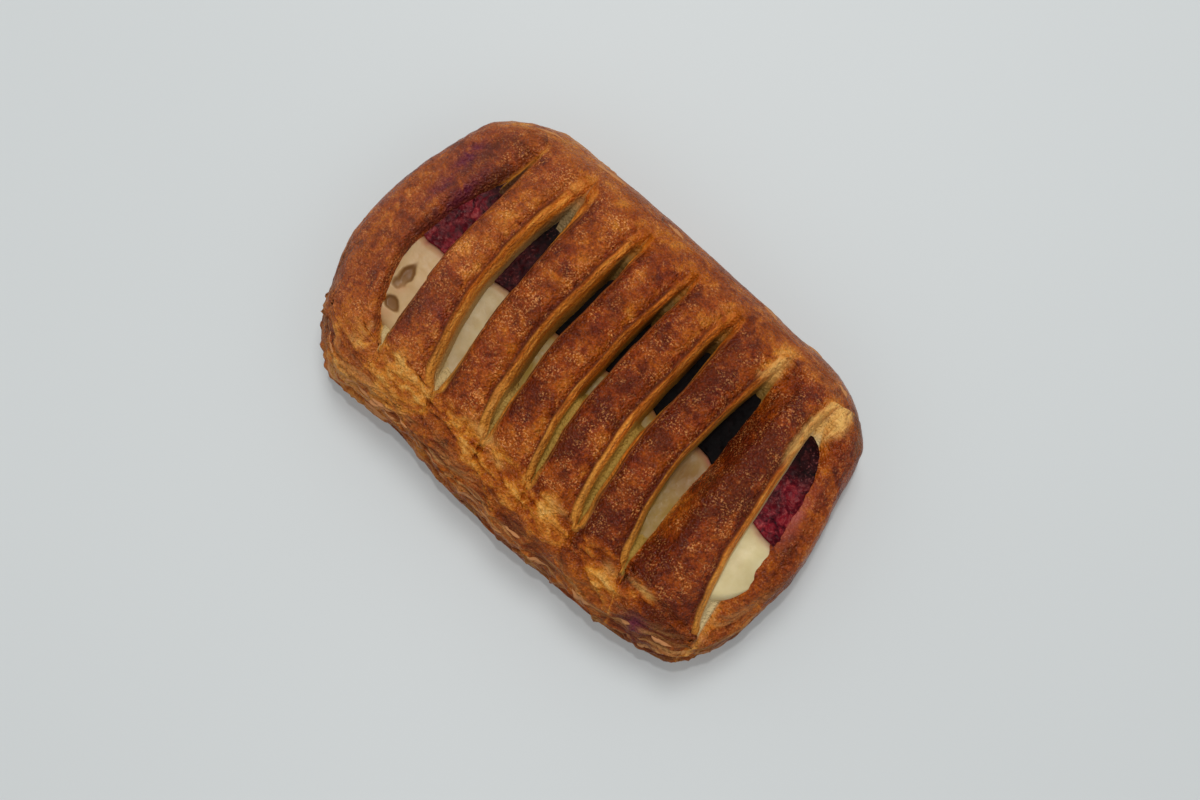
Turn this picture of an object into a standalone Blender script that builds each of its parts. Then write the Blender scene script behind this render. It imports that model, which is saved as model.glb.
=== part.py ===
"""Cherry cheese danish: a puffed pillow of laminated dough with seven slits across its top.

The long side lies along X and the slits run along Y, over a ribbon of soft cheese on the -Y half and a
ribbon of cherry filling on the +Y half. The dough is folded over at +Y and sealed at -Y. The origin is
under the middle of the pastry, on its flat base.
"""

import math

import bmesh
import bpy
import numpy as np

MM = 0.001

# Dough pillow, in millimetres
LENGTH = 134.0
WIDTH = 84.0
CREST_HEIGHT = 30.0
WIDEST_LEVEL = 8.0
TUCK = 4.5
PLAN_POWER = 3.9
END_POWER = 3.2
FOLDED_POWER = 2.9
SEALED_POWER = 2.2

# Unevenness of the outline, in millimetres: where along X, how far it spreads, and how far it stands out
SEALED_BUMPS = ((-47.0, 7.0, 1.9), (-24.0, 12.0, -2.0), (28.0, 14.0, -1.2), (58.5, 4.0, 1.8))
FOLDED_BUMPS = ((-46.0, 9.0, 1.4), (43.0, 10.0, 1.2))
# The same for the two ends, where along Y, and the powers by which the bumps fade out towards the middle
LOW_END_BUMPS = ((21.0, 10.0, -1.8), (-27.0, 10.0, -3.2))
HIGH_END_BUMPS = ((24.0, 16.0, -5.0), (-15.0, 8.0, -0.8))
END_FADE = 6
BUMP_FADE = 4

# Slits, in millimetres: x of the hinge side at Y = 0, how much of the gap lies to its left, the gap at
# the filling, the cut or rolled slopes on the left and right, the lowest and highest Y of the gap, how
# far its widest place is shifted towards +Y, and how far it slants
SLITS = (
    {"x": -45.0, "hinge": 1.0, "gap": 7.4, "left": 4.0, "right": 0.8, "low": -27.5, "high": 25.0,
     "skew": -0.25, "tilt": 0.0},
    {"x": -28.9, "hinge": 0.5, "gap": 5.4, "left": 2.6, "right": 0.9, "low": -28.0, "high": 27.5,
     "skew": 0.0, "tilt": 0.03},
    {"x": -11.7, "hinge": 0.5, "gap": 2.0, "left": 2.7, "right": 0.8, "low": -17.0, "high": 25.0,
     "skew": 0.0, "tilt": 0.0},
    {"x": 2.9, "hinge": 0.5, "gap": 0.9, "left": 2.1, "right": 0.6, "low": -7.0, "high": 22.5,
     "skew": 0.0, "tilt": 0.0},
    {"x": 17.1, "hinge": 0.5, "gap": 2.3, "left": 2.4, "right": 0.8, "low": -3.0, "high": 26.0,
     "skew": 0.0, "tilt": 0.0},
    {"x": 32.0, "hinge": 0.5, "gap": 4.9, "left": 1.0, "right": 4.2, "low": -24.0, "high": 28.0,
     "skew": 0.0, "tilt": 0.0},
    {"x": 51.7, "hinge": 0.0, "gap": 5.4, "left": 2.6, "right": 5.0, "low": -25.5, "high": 28.5,
     "skew": 0.35, "tilt": 0.12},
)
CRACK = 0.3
GAP_POWER = 1.4
GAP_OPENS = 0.55
SLIT_FLOOR = 18.0

# Each slit is cut through between these, and shut over the filling where its gap is closed, in mm
CUT_LOW = -25.0
CUT_HIGH = 30.0
CUT_POWER = 3.0
CUT_OPENS = 0.9
SHUT_DEPTH = 5.2
SHUT_GAP = 1.5

# Grooves that carry each slit on past its cut, in millimetres
GROOVE_LOW = -28.0
GROOVE_HIGH = 33.5
GROOVE_POWER = 5.5
GROOVE_DEPTH = 2.6
EDGE_POWER = 3.0
CREASE_HALF = 0.5
CREASE_DEPTH = 0.6
LEAN = 4.4
LEAN_REACH = 27.0
LEAN_POWER = 1.6
LEAN_MOST = 1.3

# Strips between the slits, in millimetres: how high each has puffed, and how far its shoulders fall
STRIP_RISE = (-0.8, 0.2, 0.8, 0.3, 0.9, 0.1, 0.4, -0.9)
RISE_FROM = 18.0
RISE_TO = 34.0
SHOULDER = 1.8
SHOULDER_POWER = 3.4
LOBE_FROM = 0.35

# Powers that round the slits' left and right walls: how fast each moves sideways and falls along its share
DOWN_OUT = 1.6
DOWN_DEEP = 1.9
UP_OUT = 1.25

# Shares of the half width over which the strips flatten into the flank, and the slits' rows spread out
RIM_FROM = 0.66
RIM_TO = 0.92
SPREAD_FROM = 0.82
SPREAD_TO = 0.99

# Seam between the top and bottom sheets on the sealed side: its share of the height, and its depth in mm
SEAM_UP = 0.16
SEAM_SPREAD = 0.09
SEAM_DEPTH = 1.4
SEAM_POWER = 4.0
FLANK_UP = 0.42

# Filling ribbons, in millimetres
BED_LOW_X = -60.0
BED_HIGH_X = 61.5
BED_LOW_Y = -28.0
BED_HIGH_Y = 30.0
BED_FLOOR = 6.5
BED_TOP = 20.6
BED_CORNER = 4.0
BED_END_POWER = 3.4
BED_TOP_POWER = 0.2
BED_FALL = 0.9
BED_TIP = 0.9995
MEETING_BASE = -2.0
MEETING_RISE = 6.0
MEETING_X = 15.0
MEETING_SPREAD = 38.0
CLEARANCE = 0.3

# Faceting
END_STEPS = 8
WALL_STEPS = 3
FLOOR_STEPS = 1
CREST_STEPS = 6
FLANK_STEPS = 5
TOP_STEPS = 14
TUCK_STEPS = 2
BASE_STEPS = 4
BED_STATIONS = 22
CORNER_STEPS = 3
DENSE = 1500
SETTLING_ROUNDS = 5

HALF_LENGTH = LENGTH / 2
HALF_WIDTH = WIDTH / 2
LAST_KNOT = 4 * len(SLITS) + 1


def clear_scene():
    for item in list(bpy.data.objects):
        bpy.data.objects.remove(item, do_unlink=True)


def smooth(value):
    """A step from 0 to 1 that starts and ends level."""
    share = np.clip(value, 0.0, 1.0)
    return share * share * (3.0 - 2.0 * share)


def superellipse(share, power):
    """Height of a superellipse of radius 1 over a point at this share of its radius."""
    return np.clip(1.0 - np.abs(share) ** power, 0.0, 1.0) ** (1.0 / power)


def bumps(at, table):
    """Sum of soft bumps along a line, each with its place, spread and height."""
    return sum(height * np.exp(-(((at - place) / spread) ** 2)) for place, spread, height in table)


def slit_values(name):
    return np.array([slit[name] for slit in SLITS])


def even_spacing(points, count):
    """A curve's points, picked at equal steps along its length."""
    steps = np.linalg.norm(np.diff(points, axis=0), axis=1)
    along = np.concatenate([[0.0], np.cumsum(steps)])
    wanted = np.linspace(0.0, along[-1], count + 1)
    return np.stack([np.interp(wanted, along, points[:, axis]) for axis in (0, 1)], axis=1)


def side_profile(power):
    """Across and up of one side, from the widest level over the flank to the middle of the top."""
    across = np.cos(np.linspace(0.0, math.pi / 2, DENSE))
    up = superellipse(across, power)
    size = np.array([HALF_WIDTH, CREST_HEIGHT - WIDEST_LEVEL])
    curve = np.stack([across, up], axis=1) * size
    flank = even_spacing(curve[up <= FLANK_UP], FLANK_STEPS)
    top = even_spacing(curve[up >= FLANK_UP], TOP_STEPS)
    return np.concatenate([flank[:-1], top]) / size


def section_profile():
    """One closed cross-section: over the top from -Y to +Y, under the edge and back along the base.

    The columns are the share across the half width, the share up from the widest level to the crest (or
    down to the base, when negative), and how far the point is tucked in under the edge.
    """
    sealed = side_profile(SEALED_POWER) * np.array([-1.0, 1.0])
    folded = side_profile(FOLDED_POWER)[::-1]
    top = np.concatenate([sealed, folded[1:]])
    turn = np.linspace(0.0, math.pi / 2, TUCK_STEPS + 1)[1:]
    under = np.stack([np.ones(TUCK_STEPS), -np.sin(turn), 1.0 - np.cos(turn)], axis=1)
    base_across = np.linspace(1.0, -1.0, BASE_STEPS + 1)[1:-1]
    base = np.stack([base_across, -np.ones(BASE_STEPS - 1), np.ones(BASE_STEPS - 1)], axis=1)
    back = under[::-1] * np.array([-1.0, 1.0, 1.0])
    return np.concatenate([np.column_stack([top, np.zeros(len(top))]), under, base, back])


def stations():
    """Span and share of every cross-section from one end to the other.

    The spans lie between knots: the low end, then each slit's left edge, left foot, right foot and right
    edge, and the high end. So the spans repeat as strip, wall, floor, wall.
    """
    counts = {0: CREST_STEPS, 1: WALL_STEPS, 2: FLOOR_STEPS, 3: WALL_STEPS}
    spans, shares = [0], [0.0]
    for span in range(LAST_KNOT):
        count = END_STEPS if span in (0, LAST_KNOT - 1) else counts[span % 4]
        spans += [span] * count
        shares += [step / count for step in range(1, count + 1)]
    return np.array(spans)[:, None], np.array(shares)[:, None]


def lean(y):
    """How far the slits bend towards +X near the sealed side."""
    return LEAN * np.clip(-y / LEAN_REACH, 0.0, LEAN_MOST) ** LEAN_POWER


def lens(y, low, high, power):
    """A rounded window along Y: 1 half way between low and high, and 0 outside them."""
    return superellipse((y - (low + high) / 2) / ((high - low) / 2), power)


def gap_lens(slit, y):
    """How open a slit's gap over the filling is at y, from 0 to 1."""
    low, high = slit_values("low")[slit], slit_values("high")[slit]
    share = np.clip((2 * y - low - high) / (high - low), -1.0, 1.0)
    return superellipse(share - slit_values("skew")[slit] * (1.0 - share**2), GAP_POWER)


def knot_x(knot, y):
    """X of a knot between two spans at y."""
    slit = np.clip((knot - 1) // 4, 0, len(SLITS) - 1)
    is_right = (knot - 1) % 4 >= 2
    is_edge = (knot - 1) % 4 % 3 == 0
    groove = lens(y, GROOVE_LOW, GROOVE_HIGH, GROOVE_POWER)
    opened = np.where(is_edge, lens(y, GROOVE_LOW, GROOVE_HIGH, EDGE_POWER), gap_lens(slit, y))
    hinge = slit_values("hinge")[slit]
    side_share = np.where(is_right, 1.0 - hinge, hinge)
    slope = np.where(is_right, slit_values("right")[slit], slit_values("left")[slit])
    held = (SHUT_GAP - CRACK) / 2 * lens(y, CUT_LOW, CUT_HIGH, CUT_POWER)
    gap = (slit_values("gap")[slit] - CRACK) * side_share * opened
    reach = CRACK / 2 + np.maximum(gap, held)
    reach = reach + np.where(is_edge, CREASE_HALF + (slope - CREASE_HALF) * groove, 0.0)
    tilted = slit_values("x")[slit] + lean(y) - slit_values("tilt")[slit] * y
    inner = tilted + np.where(is_right, reach, -reach)
    return np.where(knot == 0, -HALF_LENGTH, np.where(knot == LAST_KNOT, HALF_LENGTH, inner))


def end_x(share, edge):
    """X from the pastry's tip (share 0) to an edge (share 1), at even turns round the plan's corner."""
    inner = np.arcsin(np.clip(np.abs(edge) / HALF_LENGTH, 0.0, 1.0) ** (PLAN_POWER / 2))
    turn = math.pi / 2 + (inner - math.pi / 2) * share
    return np.sign(edge) * HALF_LENGTH * np.sin(turn) ** (2.0 / PLAN_POWER)


def station_x(span, share, y):
    """X of each cross-section at y, following the slits' edges."""
    low, high = knot_x(span, y), knot_x(span + 1, y)
    rounded = np.choose(span % 4, [share, share ** (1 / DOWN_OUT), share, share**UP_OUT])
    between = low + (high - low) * rounded
    between = np.where(span == 0, end_x(share, high), between)
    return np.where(span == LAST_KNOT - 1, end_x(1.0 - share, low), between)


def spread_x(span, share):
    """X of each cross-section on the flanks and the base, where the stations are spread evenly."""
    middle = np.zeros_like(share)
    plain = station_x(span, share, middle)
    inside = (span > 0) & (span < LAST_KNOT - 1)
    count = inside.sum()
    low, high = knot_x(1, np.zeros(1))[0], knot_x(LAST_KNOT - 1, np.zeros(1))[0]
    even = low + (high - low) * np.cumsum(inside, axis=0) / count
    return np.where(inside, even, plain)


def drop(span, share, y, top, across):
    """How far each point lies below the smooth top: little on a strip, and deep in a slit."""
    slit = np.clip((span - 1) // 4, 0, len(SLITS) - 1)
    rim = 1.0 - smooth((np.abs(across) - RIM_FROM) / (RIM_TO - RIM_FROM))
    groove = lens(y, GROOVE_LOW, GROOVE_HIGH, GROOVE_POWER)
    edge = rim * (CREASE_DEPTH + (SHOULDER - CREASE_DEPTH) * groove)
    foot = edge + rim * (CREASE_DEPTH + (GROOVE_DEPTH - CREASE_DEPTH) * groove)
    cut = smooth(lens(y, CUT_LOW, CUT_HIGH, CUT_POWER) / CUT_OPENS)
    foot = foot + np.maximum(SHUT_DEPTH - foot, 0.0) * cut
    foot = foot + (top - SLIT_FLOOR - foot) * smooth(gap_lens(slit, y) / GAP_OPENS)

    crest = edge * np.abs(2.0 * share - 1.0) ** SHOULDER_POWER
    down = edge + (foot - edge) * share**DOWN_DEEP
    up = foot + (edge - foot) * share
    between = np.choose(span % 4, [crest, down, foot, up])
    from_tip = np.where(span == 0, share, 1.0 - share)
    lobe = edge * smooth((from_tip - LOBE_FROM) / (1.0 - LOBE_FROM)) ** 2
    return np.where((span == 0) | (span == LAST_KNOT - 1), lobe, between)


def dough_points():
    """Points of the whole dough surface, as stations by section points by three."""
    across, up, tucked = section_profile().T[:, None, :]
    span, share = stations()
    spread = smooth((np.abs(across) - SPREAD_FROM) / (SPREAD_TO - SPREAD_FROM))
    spread = np.where(up > 0.0, spread, 1.0)
    even = spread_x(span, share)
    y = across * HALF_WIDTH + np.zeros_like(even)
    for _ in range(SETTLING_ROUNDS):
        slit_x = station_x(span, share, y)
        x = slit_x + (even - slit_x) * spread
        y = across * HALF_WIDTH * superellipse(x / HALF_LENGTH, PLAN_POWER)

    crest = WIDEST_LEVEL + (CREST_HEIGHT - WIDEST_LEVEL) * superellipse(x / HALF_LENGTH, END_POWER)
    top = WIDEST_LEVEL + (crest - WIDEST_LEVEL) * np.clip(up, 0.0, 1.0)
    rise = np.array(STRIP_RISE)[(span + 2) // 4]
    rise = rise * (1.0 - smooth((np.abs(y) - RISE_FROM) / (RISE_TO - RISE_FROM)))
    rise = rise * smooth(np.minimum((HALF_LENGTH - np.abs(x)) / TUCK, 1.0))
    past_end = np.clip((np.abs(x) - (HALF_LENGTH - TUCK)) / TUCK, 0.0, 1.0)
    base = WIDEST_LEVEL * (1.0 - np.sqrt(1.0 - past_end**2))
    under = WIDEST_LEVEL + np.clip(up, -1.0, 0.0) * (WIDEST_LEVEL - base)
    z = np.where(up > 0.0, top + rise - drop(span, share, y, top, across), under)

    outward = np.sign(across) * np.abs(across) ** BUMP_FADE
    tuck = 1.0 - tucked * TUCK / HALF_WIDTH
    seam = SEAM_DEPTH * np.exp(-(((up - SEAM_UP) / SEAM_SPREAD) ** 2))
    seam = seam * superellipse(x / HALF_LENGTH, SEAM_POWER)
    side_bumps = np.where(across < 0, bumps(x, SEALED_BUMPS), bumps(x, FOLDED_BUMPS))
    y = y * tuck + outward * (side_bumps - np.where(across < 0, seam, 0.0))
    end_bumps = np.where(x < 0, bumps(y, LOW_END_BUMPS), bumps(y, HIGH_END_BUMPS))
    x = x + np.sign(x) * end_bumps * np.abs(x / HALF_LENGTH) ** END_FADE
    return np.stack([x, y, z], axis=-1)


def tube_mesh(name, rows):
    """A closed mesh from rings of points, in metres. The first and last rings become single points."""
    rings, around, _ = rows.shape
    tips = [rows[0].mean(axis=0), rows[-1].mean(axis=0)]
    body = rows[1:-1].reshape(-1, 3)
    points = np.concatenate([body, tips]) * MM
    ring, step = np.meshgrid(np.arange(rings - 3), np.arange(around), indexing="ij")
    following = (step + 1) % around
    low_side, high_side = ring * around, (ring + 1) * around
    corners = [low_side + step, high_side + step, high_side + following, low_side + following]
    quads = np.stack(corners, axis=-1).reshape(-1, 4)
    step = np.arange(around)
    following = (step + 1) % around
    last_ring = (rings - 3) * around
    first_tip, last_tip = np.full(around, len(body)), np.full(around, len(body) + 1)
    start = np.stack([first_tip, step, following], axis=1)
    finish = np.stack([last_tip, last_ring + following, last_ring + step], axis=1)
    mesh = bpy.data.meshes.new(name)
    mesh.from_pydata(points.tolist(), [], quads.tolist() + start.tolist() + finish.tolist())
    mesh.update()
    return mesh


def baked_finish(name, colour, roughness):
    material = bpy.data.materials.new(name)
    material.use_nodes = True
    shader = material.node_tree.nodes["Principled BSDF"]
    shader.inputs["Base Color"].default_value = (*colour, 1.0)
    shader.inputs["Roughness"].default_value = roughness
    shader.inputs["Metallic"].default_value = 0.0
    return material


def add_solid(name, rows, material=None):
    mesh = tube_mesh(name, rows)
    item = bpy.data.objects.new(name, mesh)
    bpy.context.scene.collection.objects.link(item)
    shape = bmesh.new()
    shape.from_mesh(mesh)
    bmesh.ops.recalc_face_normals(shape, faces=shape.faces)
    shape.to_mesh(mesh)
    shape.free()
    if material is not None:
        mesh.materials.append(material)
    return item


def ribbon_rows(part, swell):
    """Rings of a filling ribbon along X, grown by swell all round: "cheese", "cherry" or "both".

    The bed is crowned along the line where the two fillings meet, and its outer flanks are rounded.
    """
    middle = (BED_LOW_X + BED_HIGH_X) / 2
    half = (BED_HIGH_X - BED_LOW_X) / 2
    split = 0.0 if part == "both" else CLEARANCE / 2
    rows = []
    for share in np.sin(np.linspace(-math.pi / 2, math.pi / 2, BED_STATIONS + 1)) * BED_TIP:
        x = middle + half * share
        reach = superellipse(share, BED_END_POWER)
        meeting = MEETING_BASE + MEETING_RISE * math.exp(-(((x - MEETING_X) / MEETING_SPREAD) ** 2))
        low = meeting + (BED_LOW_Y - meeting) * reach
        high = meeting + (BED_HIGH_Y - meeting) * reach
        crown = BED_FLOOR + (BED_TOP - BED_FLOOR) * reach**BED_TOP_POWER
        corner = BED_CORNER * reach
        cheese_flank, cherry_flank = [], []
        for angle in np.linspace(0.0, math.pi / 2, CORNER_STEPS + 1):
            inward = corner * (1.0 - math.sin(angle)) - swell
            level = crown - BED_FALL * reach - corner * (1.0 - math.cos(angle)) + swell
            cheese_flank.insert(0, (low + inward, level))
            cherry_flank.append((high - inward, level))
        floor = BED_FLOOR - swell
        ring = []
        if part == "cherry":
            ring += [(meeting + split, floor), (meeting + split, crown + swell)]
        else:
            ring += [(low - swell, floor), *cheese_flank, (meeting - split, crown + swell)]
        if part == "cheese":
            ring += [(meeting - split, floor)]
        else:
            ring += [*cherry_flank, (high + swell, floor)]
        rows.append([(middle + (half + swell) * share, y, z) for y, z in ring])
    return np.array(rows)


def main():
    clear_scene()
    crust = baked_finish("crust", (0.46, 0.19, 0.06), 0.42)
    cheese = baked_finish("cheese", (0.80, 0.72, 0.42), 0.35)
    cherry = baked_finish("cherry", (0.12, 0.015, 0.03), 0.3)

    dough = dough_points()
    sides = (dough.min(axis=(0, 1)) + dough.max(axis=(0, 1))) / 2
    centre = np.array([sides[0], sides[1], 0.0])

    pastry = add_solid("pastry", dough - centre, crust)
    cavity = add_solid("filling_cavity", ribbon_rows("both", CLEARANCE) - centre)
    cavity.hide_render = True
    cavity.display_type = "WIRE"
    cut = pastry.modifiers.new("filling_cavity", "BOOLEAN")
    cut.operation = "DIFFERENCE"
    cut.solver = "EXACT"
    cut.object = cavity

    add_solid("cheese_filling", ribbon_rows("cheese", 0.0) - centre, cheese)
    add_solid("cherry_filling", ribbon_rows("cherry", 0.0) - centre, cherry)


main()
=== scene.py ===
"""Cherry cheese danish: its glazed flaky crust, soft cheese, cherry filling and a plain stage.

Run as a script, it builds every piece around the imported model. Each piece is a surface worked out with numpy
from two parameters, and each finish is made of Blender's own nodes. Lengths in the formulas are millimetres.
"""

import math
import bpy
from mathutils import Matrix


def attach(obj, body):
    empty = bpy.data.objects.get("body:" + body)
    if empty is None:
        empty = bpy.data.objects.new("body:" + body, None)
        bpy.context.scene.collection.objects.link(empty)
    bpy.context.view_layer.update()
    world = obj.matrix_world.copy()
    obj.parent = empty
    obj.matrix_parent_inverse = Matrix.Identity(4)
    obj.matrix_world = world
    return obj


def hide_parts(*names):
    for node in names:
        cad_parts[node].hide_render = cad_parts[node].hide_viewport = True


bl_info = {
    "name": "Cherry cheese danish",
    "version": (1, 0, 0),
    "blender": (4, 5, 0),
    "location": "3D View > Sidebar > Danish",
    "description": "Builds a slit danish with a cheese and a cherry filling",
    "category": "Add Mesh",
}

import bpy
import numpy as np
from mathutils import Matrix, Vector

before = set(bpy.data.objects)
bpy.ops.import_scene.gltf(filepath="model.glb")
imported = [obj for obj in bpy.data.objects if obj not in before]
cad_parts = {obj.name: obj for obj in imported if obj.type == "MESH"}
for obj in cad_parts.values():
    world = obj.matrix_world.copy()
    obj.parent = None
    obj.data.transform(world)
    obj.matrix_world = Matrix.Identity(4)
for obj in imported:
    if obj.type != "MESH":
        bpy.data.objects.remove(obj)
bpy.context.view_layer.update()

MM = 0.001

# Dough pillow
LENGTH = 134.0
WIDTH = 84.0
CREST_HEIGHT = 30.0
WIDEST_LEVEL = 8.0
TUCK = 4.5
PLAN_POWER = 3.9
END_POWER = 3.2
FOLDED_POWER = 2.9
SEALED_POWER = 2.2
HALF_LENGTH = LENGTH / 2
HALF_WIDTH = WIDTH / 2

# Unevenness of the outline: where along X, how far it spreads, and how far it stands out
SEALED_BUMPS = ((-47.0, 7.0, 1.9), (-24.0, 12.0, -2.0), (28.0, 14.0, -1.2), (58.5, 4.0, 1.8))
FOLDED_BUMPS = ((-46.0, 9.0, 1.4), (43.0, 10.0, 1.2))
LOW_END_BUMPS = ((21.0, 10.0, -1.8), (-27.0, 10.0, -3.2))
HIGH_END_BUMPS = ((24.0, 16.0, -5.0), (-15.0, 8.0, -0.8))
END_FADE = 6
BUMP_FADE = 4

# Slits: x of the hinge side at Y = 0, how much of the gap lies to its left, the gap at the filling, the
# slopes on the left and right, the lowest and highest Y of the gap, how far its widest place is shifted
# towards +Y, and how far it slants
SLIT_NUMBERS = ("x", "hinge", "gap", "left", "right", "low", "high", "skew", "tilt")
SLIT_ROWS = (
    (-45.0, 1.0, 7.4, 4.0, 0.8, -27.5, 25.0, -0.25, 0.0),
    (-28.9, 0.5, 5.4, 2.6, 0.9, -28.0, 27.5, 0.0, 0.03),
    (-11.7, 0.5, 2.0, 2.7, 0.8, -17.0, 25.0, 0.0, 0.0),
    (2.9, 0.5, 0.9, 2.1, 0.6, -7.0, 22.5, 0.0, 0.0),
    (17.1, 0.5, 2.3, 2.4, 0.8, -3.0, 26.0, 0.0, 0.0),
    (32.0, 0.5, 4.9, 1.0, 4.2, -24.0, 28.0, 0.0, 0.0),
    (51.7, 0.0, 5.4, 2.6, 5.0, -25.5, 28.5, 0.35, 0.12),
)
SLITS = dict(zip(SLIT_NUMBERS, np.array(SLIT_ROWS).T))
LAST_SLIT = len(SLIT_ROWS) - 1
# Each slit has four knots, where a strip's edge turns into its wall and its wall into its floor
LAST_KNOT = 4 * len(SLIT_ROWS) + 1
# What a span between two knots is, by its number's remainder over 4. The end lobes count as strips
STRIP, LEFT_WALL, FLOOR, RIGHT_WALL = range(4)
CRACK = 0.3
GAP_POWER = 1.4
GAP_OPENS = 0.55
SLIT_FLOOR = 18.0
CUT_LOW = -25.0
CUT_HIGH = 30.0
CUT_POWER = 3.0
CUT_OPENS = 0.9
SHUT_DEPTH = 5.2
SHUT_GAP = 1.5
GROOVE_LOW = -28.0
GROOVE_HIGH = 33.5
GROOVE_POWER = 5.5
GROOVE_DEPTH = 2.6
EDGE_POWER = 3.0
CREASE_HALF = 0.5
CREASE_DEPTH = 0.6
LEAN = 4.4
LEAN_REACH = 27.0
LEAN_POWER = 1.6
LEAN_MOST = 1.3
# How unevenly a slit's slopes fray, as a share of them, and how far its middle line wanders
FRAY = 0.16
WANDER = 0.5

# Strips between the slits
STRIP_RISE = (-0.8, 0.2, 0.8, 0.3, 0.9, 0.1, 0.4, -0.9)
RISE_FROM = 18.0
RISE_TO = 34.0
SHOULDER = 1.8
SHOULDER_POWER = 3.4
LOBE_FROM = 0.35
DOWN_OUT = 1.6
DOWN_DEEP = 1.9
UP_OUT = 1.25
RIM_FROM = 0.66
RIM_TO = 0.92
SPREAD_FROM = 0.82
SPREAD_TO = 0.99
SEAM_UP = 0.16
SEAM_SPREAD = 0.09
SEAM_DEPTH = 1.4
SEAM_POWER = 4.0
FLANK_UP = 0.42

# Filling ribbons
BED_LOW_X = -60.0
BED_HIGH_X = 61.5
BED_LOW_Y = -28.0
BED_HIGH_Y = 30.0
BED_FLOOR = 6.5
BED_TOP = 20.6
BED_CORNER = 4.0
BED_END_POWER = 3.4
BED_TOP_POWER = 0.2
BED_FALL = 0.9
BED_TIP = 0.9995
MEETING_BASE = -2.0
MEETING_RISE = 6.0
MEETING_X = 15.0
MEETING_SPREAD = 38.0

# Steps of the grids
END_STEPS = 44
END_GROWTH = 1.75
DOWN_STEPS = 14
UP_STEPS = 9
FLOOR_STEPS = 3
CREST_STEPS = 24
TOP_STEPS = 72
FLANK_STEPS = 34
TUCK_STEPS = 8
BASE_STEPS = 12
DENSE = 3000
SETTLING_ROUNDS = 5

def smooth(value):
    """A step from 0 to 1 that starts and ends level."""
    share = np.clip(value, 0.0, 1.0)
    return share * share * (3.0 - 2.0 * share)


def window(value, low, low_width, high, high_width):
    """A smooth step up that starts at low, times a smooth step down that starts at high."""
    return smooth((value - low) / low_width) * (1.0 - smooth((value - high) / high_width))


def superellipse(share, power):
    """Height of a superellipse of radius 1 over a point at this share of its radius."""
    return np.clip(1.0 - np.abs(share) ** power, 0.0, 1.0) ** (1.0 / power)


def bumps(at, table):
    """Sum of soft bumps along a line, each with its place, spread and height."""
    return sum(height * np.exp(-(((at - place) / spread) ** 2)) for place, spread, height in table)


def spots(x, y, table):
    """Sum of soft round spots on the plan, each with its x, y, spreads along X and Y, and strength."""
    total = np.zeros_like(x)
    for place_x, place_y, spread_x, spread_y, strength in table:
        far = ((x - place_x) / spread_x) ** 2 + ((y - place_y) / spread_y) ** 2
        total = total + strength * np.exp(-far)
    return total


def mixed_bits(cell, seed):
    """A repeatable number from 0 to 1 for each whole-numbered cell, from its coordinates' mixed bits."""
    mask = 0x7FFFFFFF
    mixed = (cell[..., 0] * 73856093) ^ (cell[..., 1] * 19349663) ^ (cell[..., 2] * 83492791)
    mixed = (mixed ^ (seed * 40503)) & mask
    mixed = ((mixed ^ (mixed >> 15)) * 739982445) & mask
    mixed = ((mixed ^ (mixed >> 12)) * 695872825) & mask
    return (mixed ^ (mixed >> 15)) / mask


def lump_noise(points, size, seed):
    """Noise from -1 to 1 with lumps of about this size: the numbers of eight cells, blended smoothly."""
    at = points / np.asarray(size, float)
    cell = np.floor(at)
    part = at - cell
    part = part**3 * (part * (part * 6.0 - 15.0) + 10.0)
    cell = cell.astype(np.int64)
    total = 0.0
    for corner in np.ndindex(2, 2, 2):
        weight = np.prod(np.where(np.array(corner) == 1, part, 1.0 - part), axis=-1)
        total = total + weight * mixed_bits(cell + np.array(corner), seed)
    return 2.0 * total - 1.0


def rough_noise(points, size, octaves, seed, keep=0.5):
    """Noise with detail: each octave has lumps half the size of the last, and keep times its height."""
    size = np.asarray(size, float)
    layers = [keep**n * lump_noise(points, size / 2**n, seed + 17 * n) for n in range(octaves)]
    return sum(layers) / sum(keep**n for n in range(octaves))


def pillow_noise(points, size, seed):
    """Domes with creases between them: 1 in a dome's middle, 0 where it meets the next one."""
    at = points / np.asarray(size, float)
    cell = np.floor(at).astype(np.int64)
    first = np.full(at.shape[:-1], 9.0)
    second = first.copy()
    for step in np.ndindex(3, 3, 3):
        corner = cell + np.array(step) - 1
        offset = np.stack([mixed_bits(corner, seed + 101 * axis) for axis in range(3)], axis=-1)
        far = np.linalg.norm(at - corner - offset, axis=-1)
        second = np.minimum(second, np.maximum(first, far))
        first = np.minimum(first, far)
    return np.clip((second - first) * 1.6, 0.0, 1.0)


def stacked(x, y, z):
    """Three coordinate arrays as one array of points."""
    return np.stack(np.broadcast_arrays(x, y, z), axis=-1).astype(float)


def slit_at(span):
    """The slit that a span or a knot belongs to, which is the nearest slit past either end."""
    return np.clip((span - 1) // 4, 0, LAST_SLIT)


def over_strips(across):
    """1 over the strips and 0 out on the flanks, with a smooth step over each rim."""
    return 1.0 - smooth((np.abs(across) - RIM_FROM) / (RIM_TO - RIM_FROM))


def even_spacing(points, count):
    """A curve's points, picked at equal steps along its length."""
    steps = np.linalg.norm(np.diff(points, axis=0), axis=1)
    along = np.concatenate([[0.0], np.cumsum(steps)])
    wanted = np.linspace(0.0, along[-1], count + 1)
    return np.stack([np.interp(wanted, along, points[:, axis]) for axis in (0, 1)], axis=1)


def side_profile(power):
    """Across and up of one side, from the widest level over the flank to the middle of the top."""
    across = np.cos(np.linspace(0.0, math.pi / 2, DENSE))
    up = superellipse(across, power)
    size = np.array([HALF_WIDTH, CREST_HEIGHT - WIDEST_LEVEL])
    curve = np.stack([across, up], axis=1) * size
    flank = even_spacing(curve[up <= FLANK_UP], FLANK_STEPS)
    top = even_spacing(curve[up >= FLANK_UP], TOP_STEPS)
    return np.concatenate([flank[:-1], top]) / size


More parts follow.
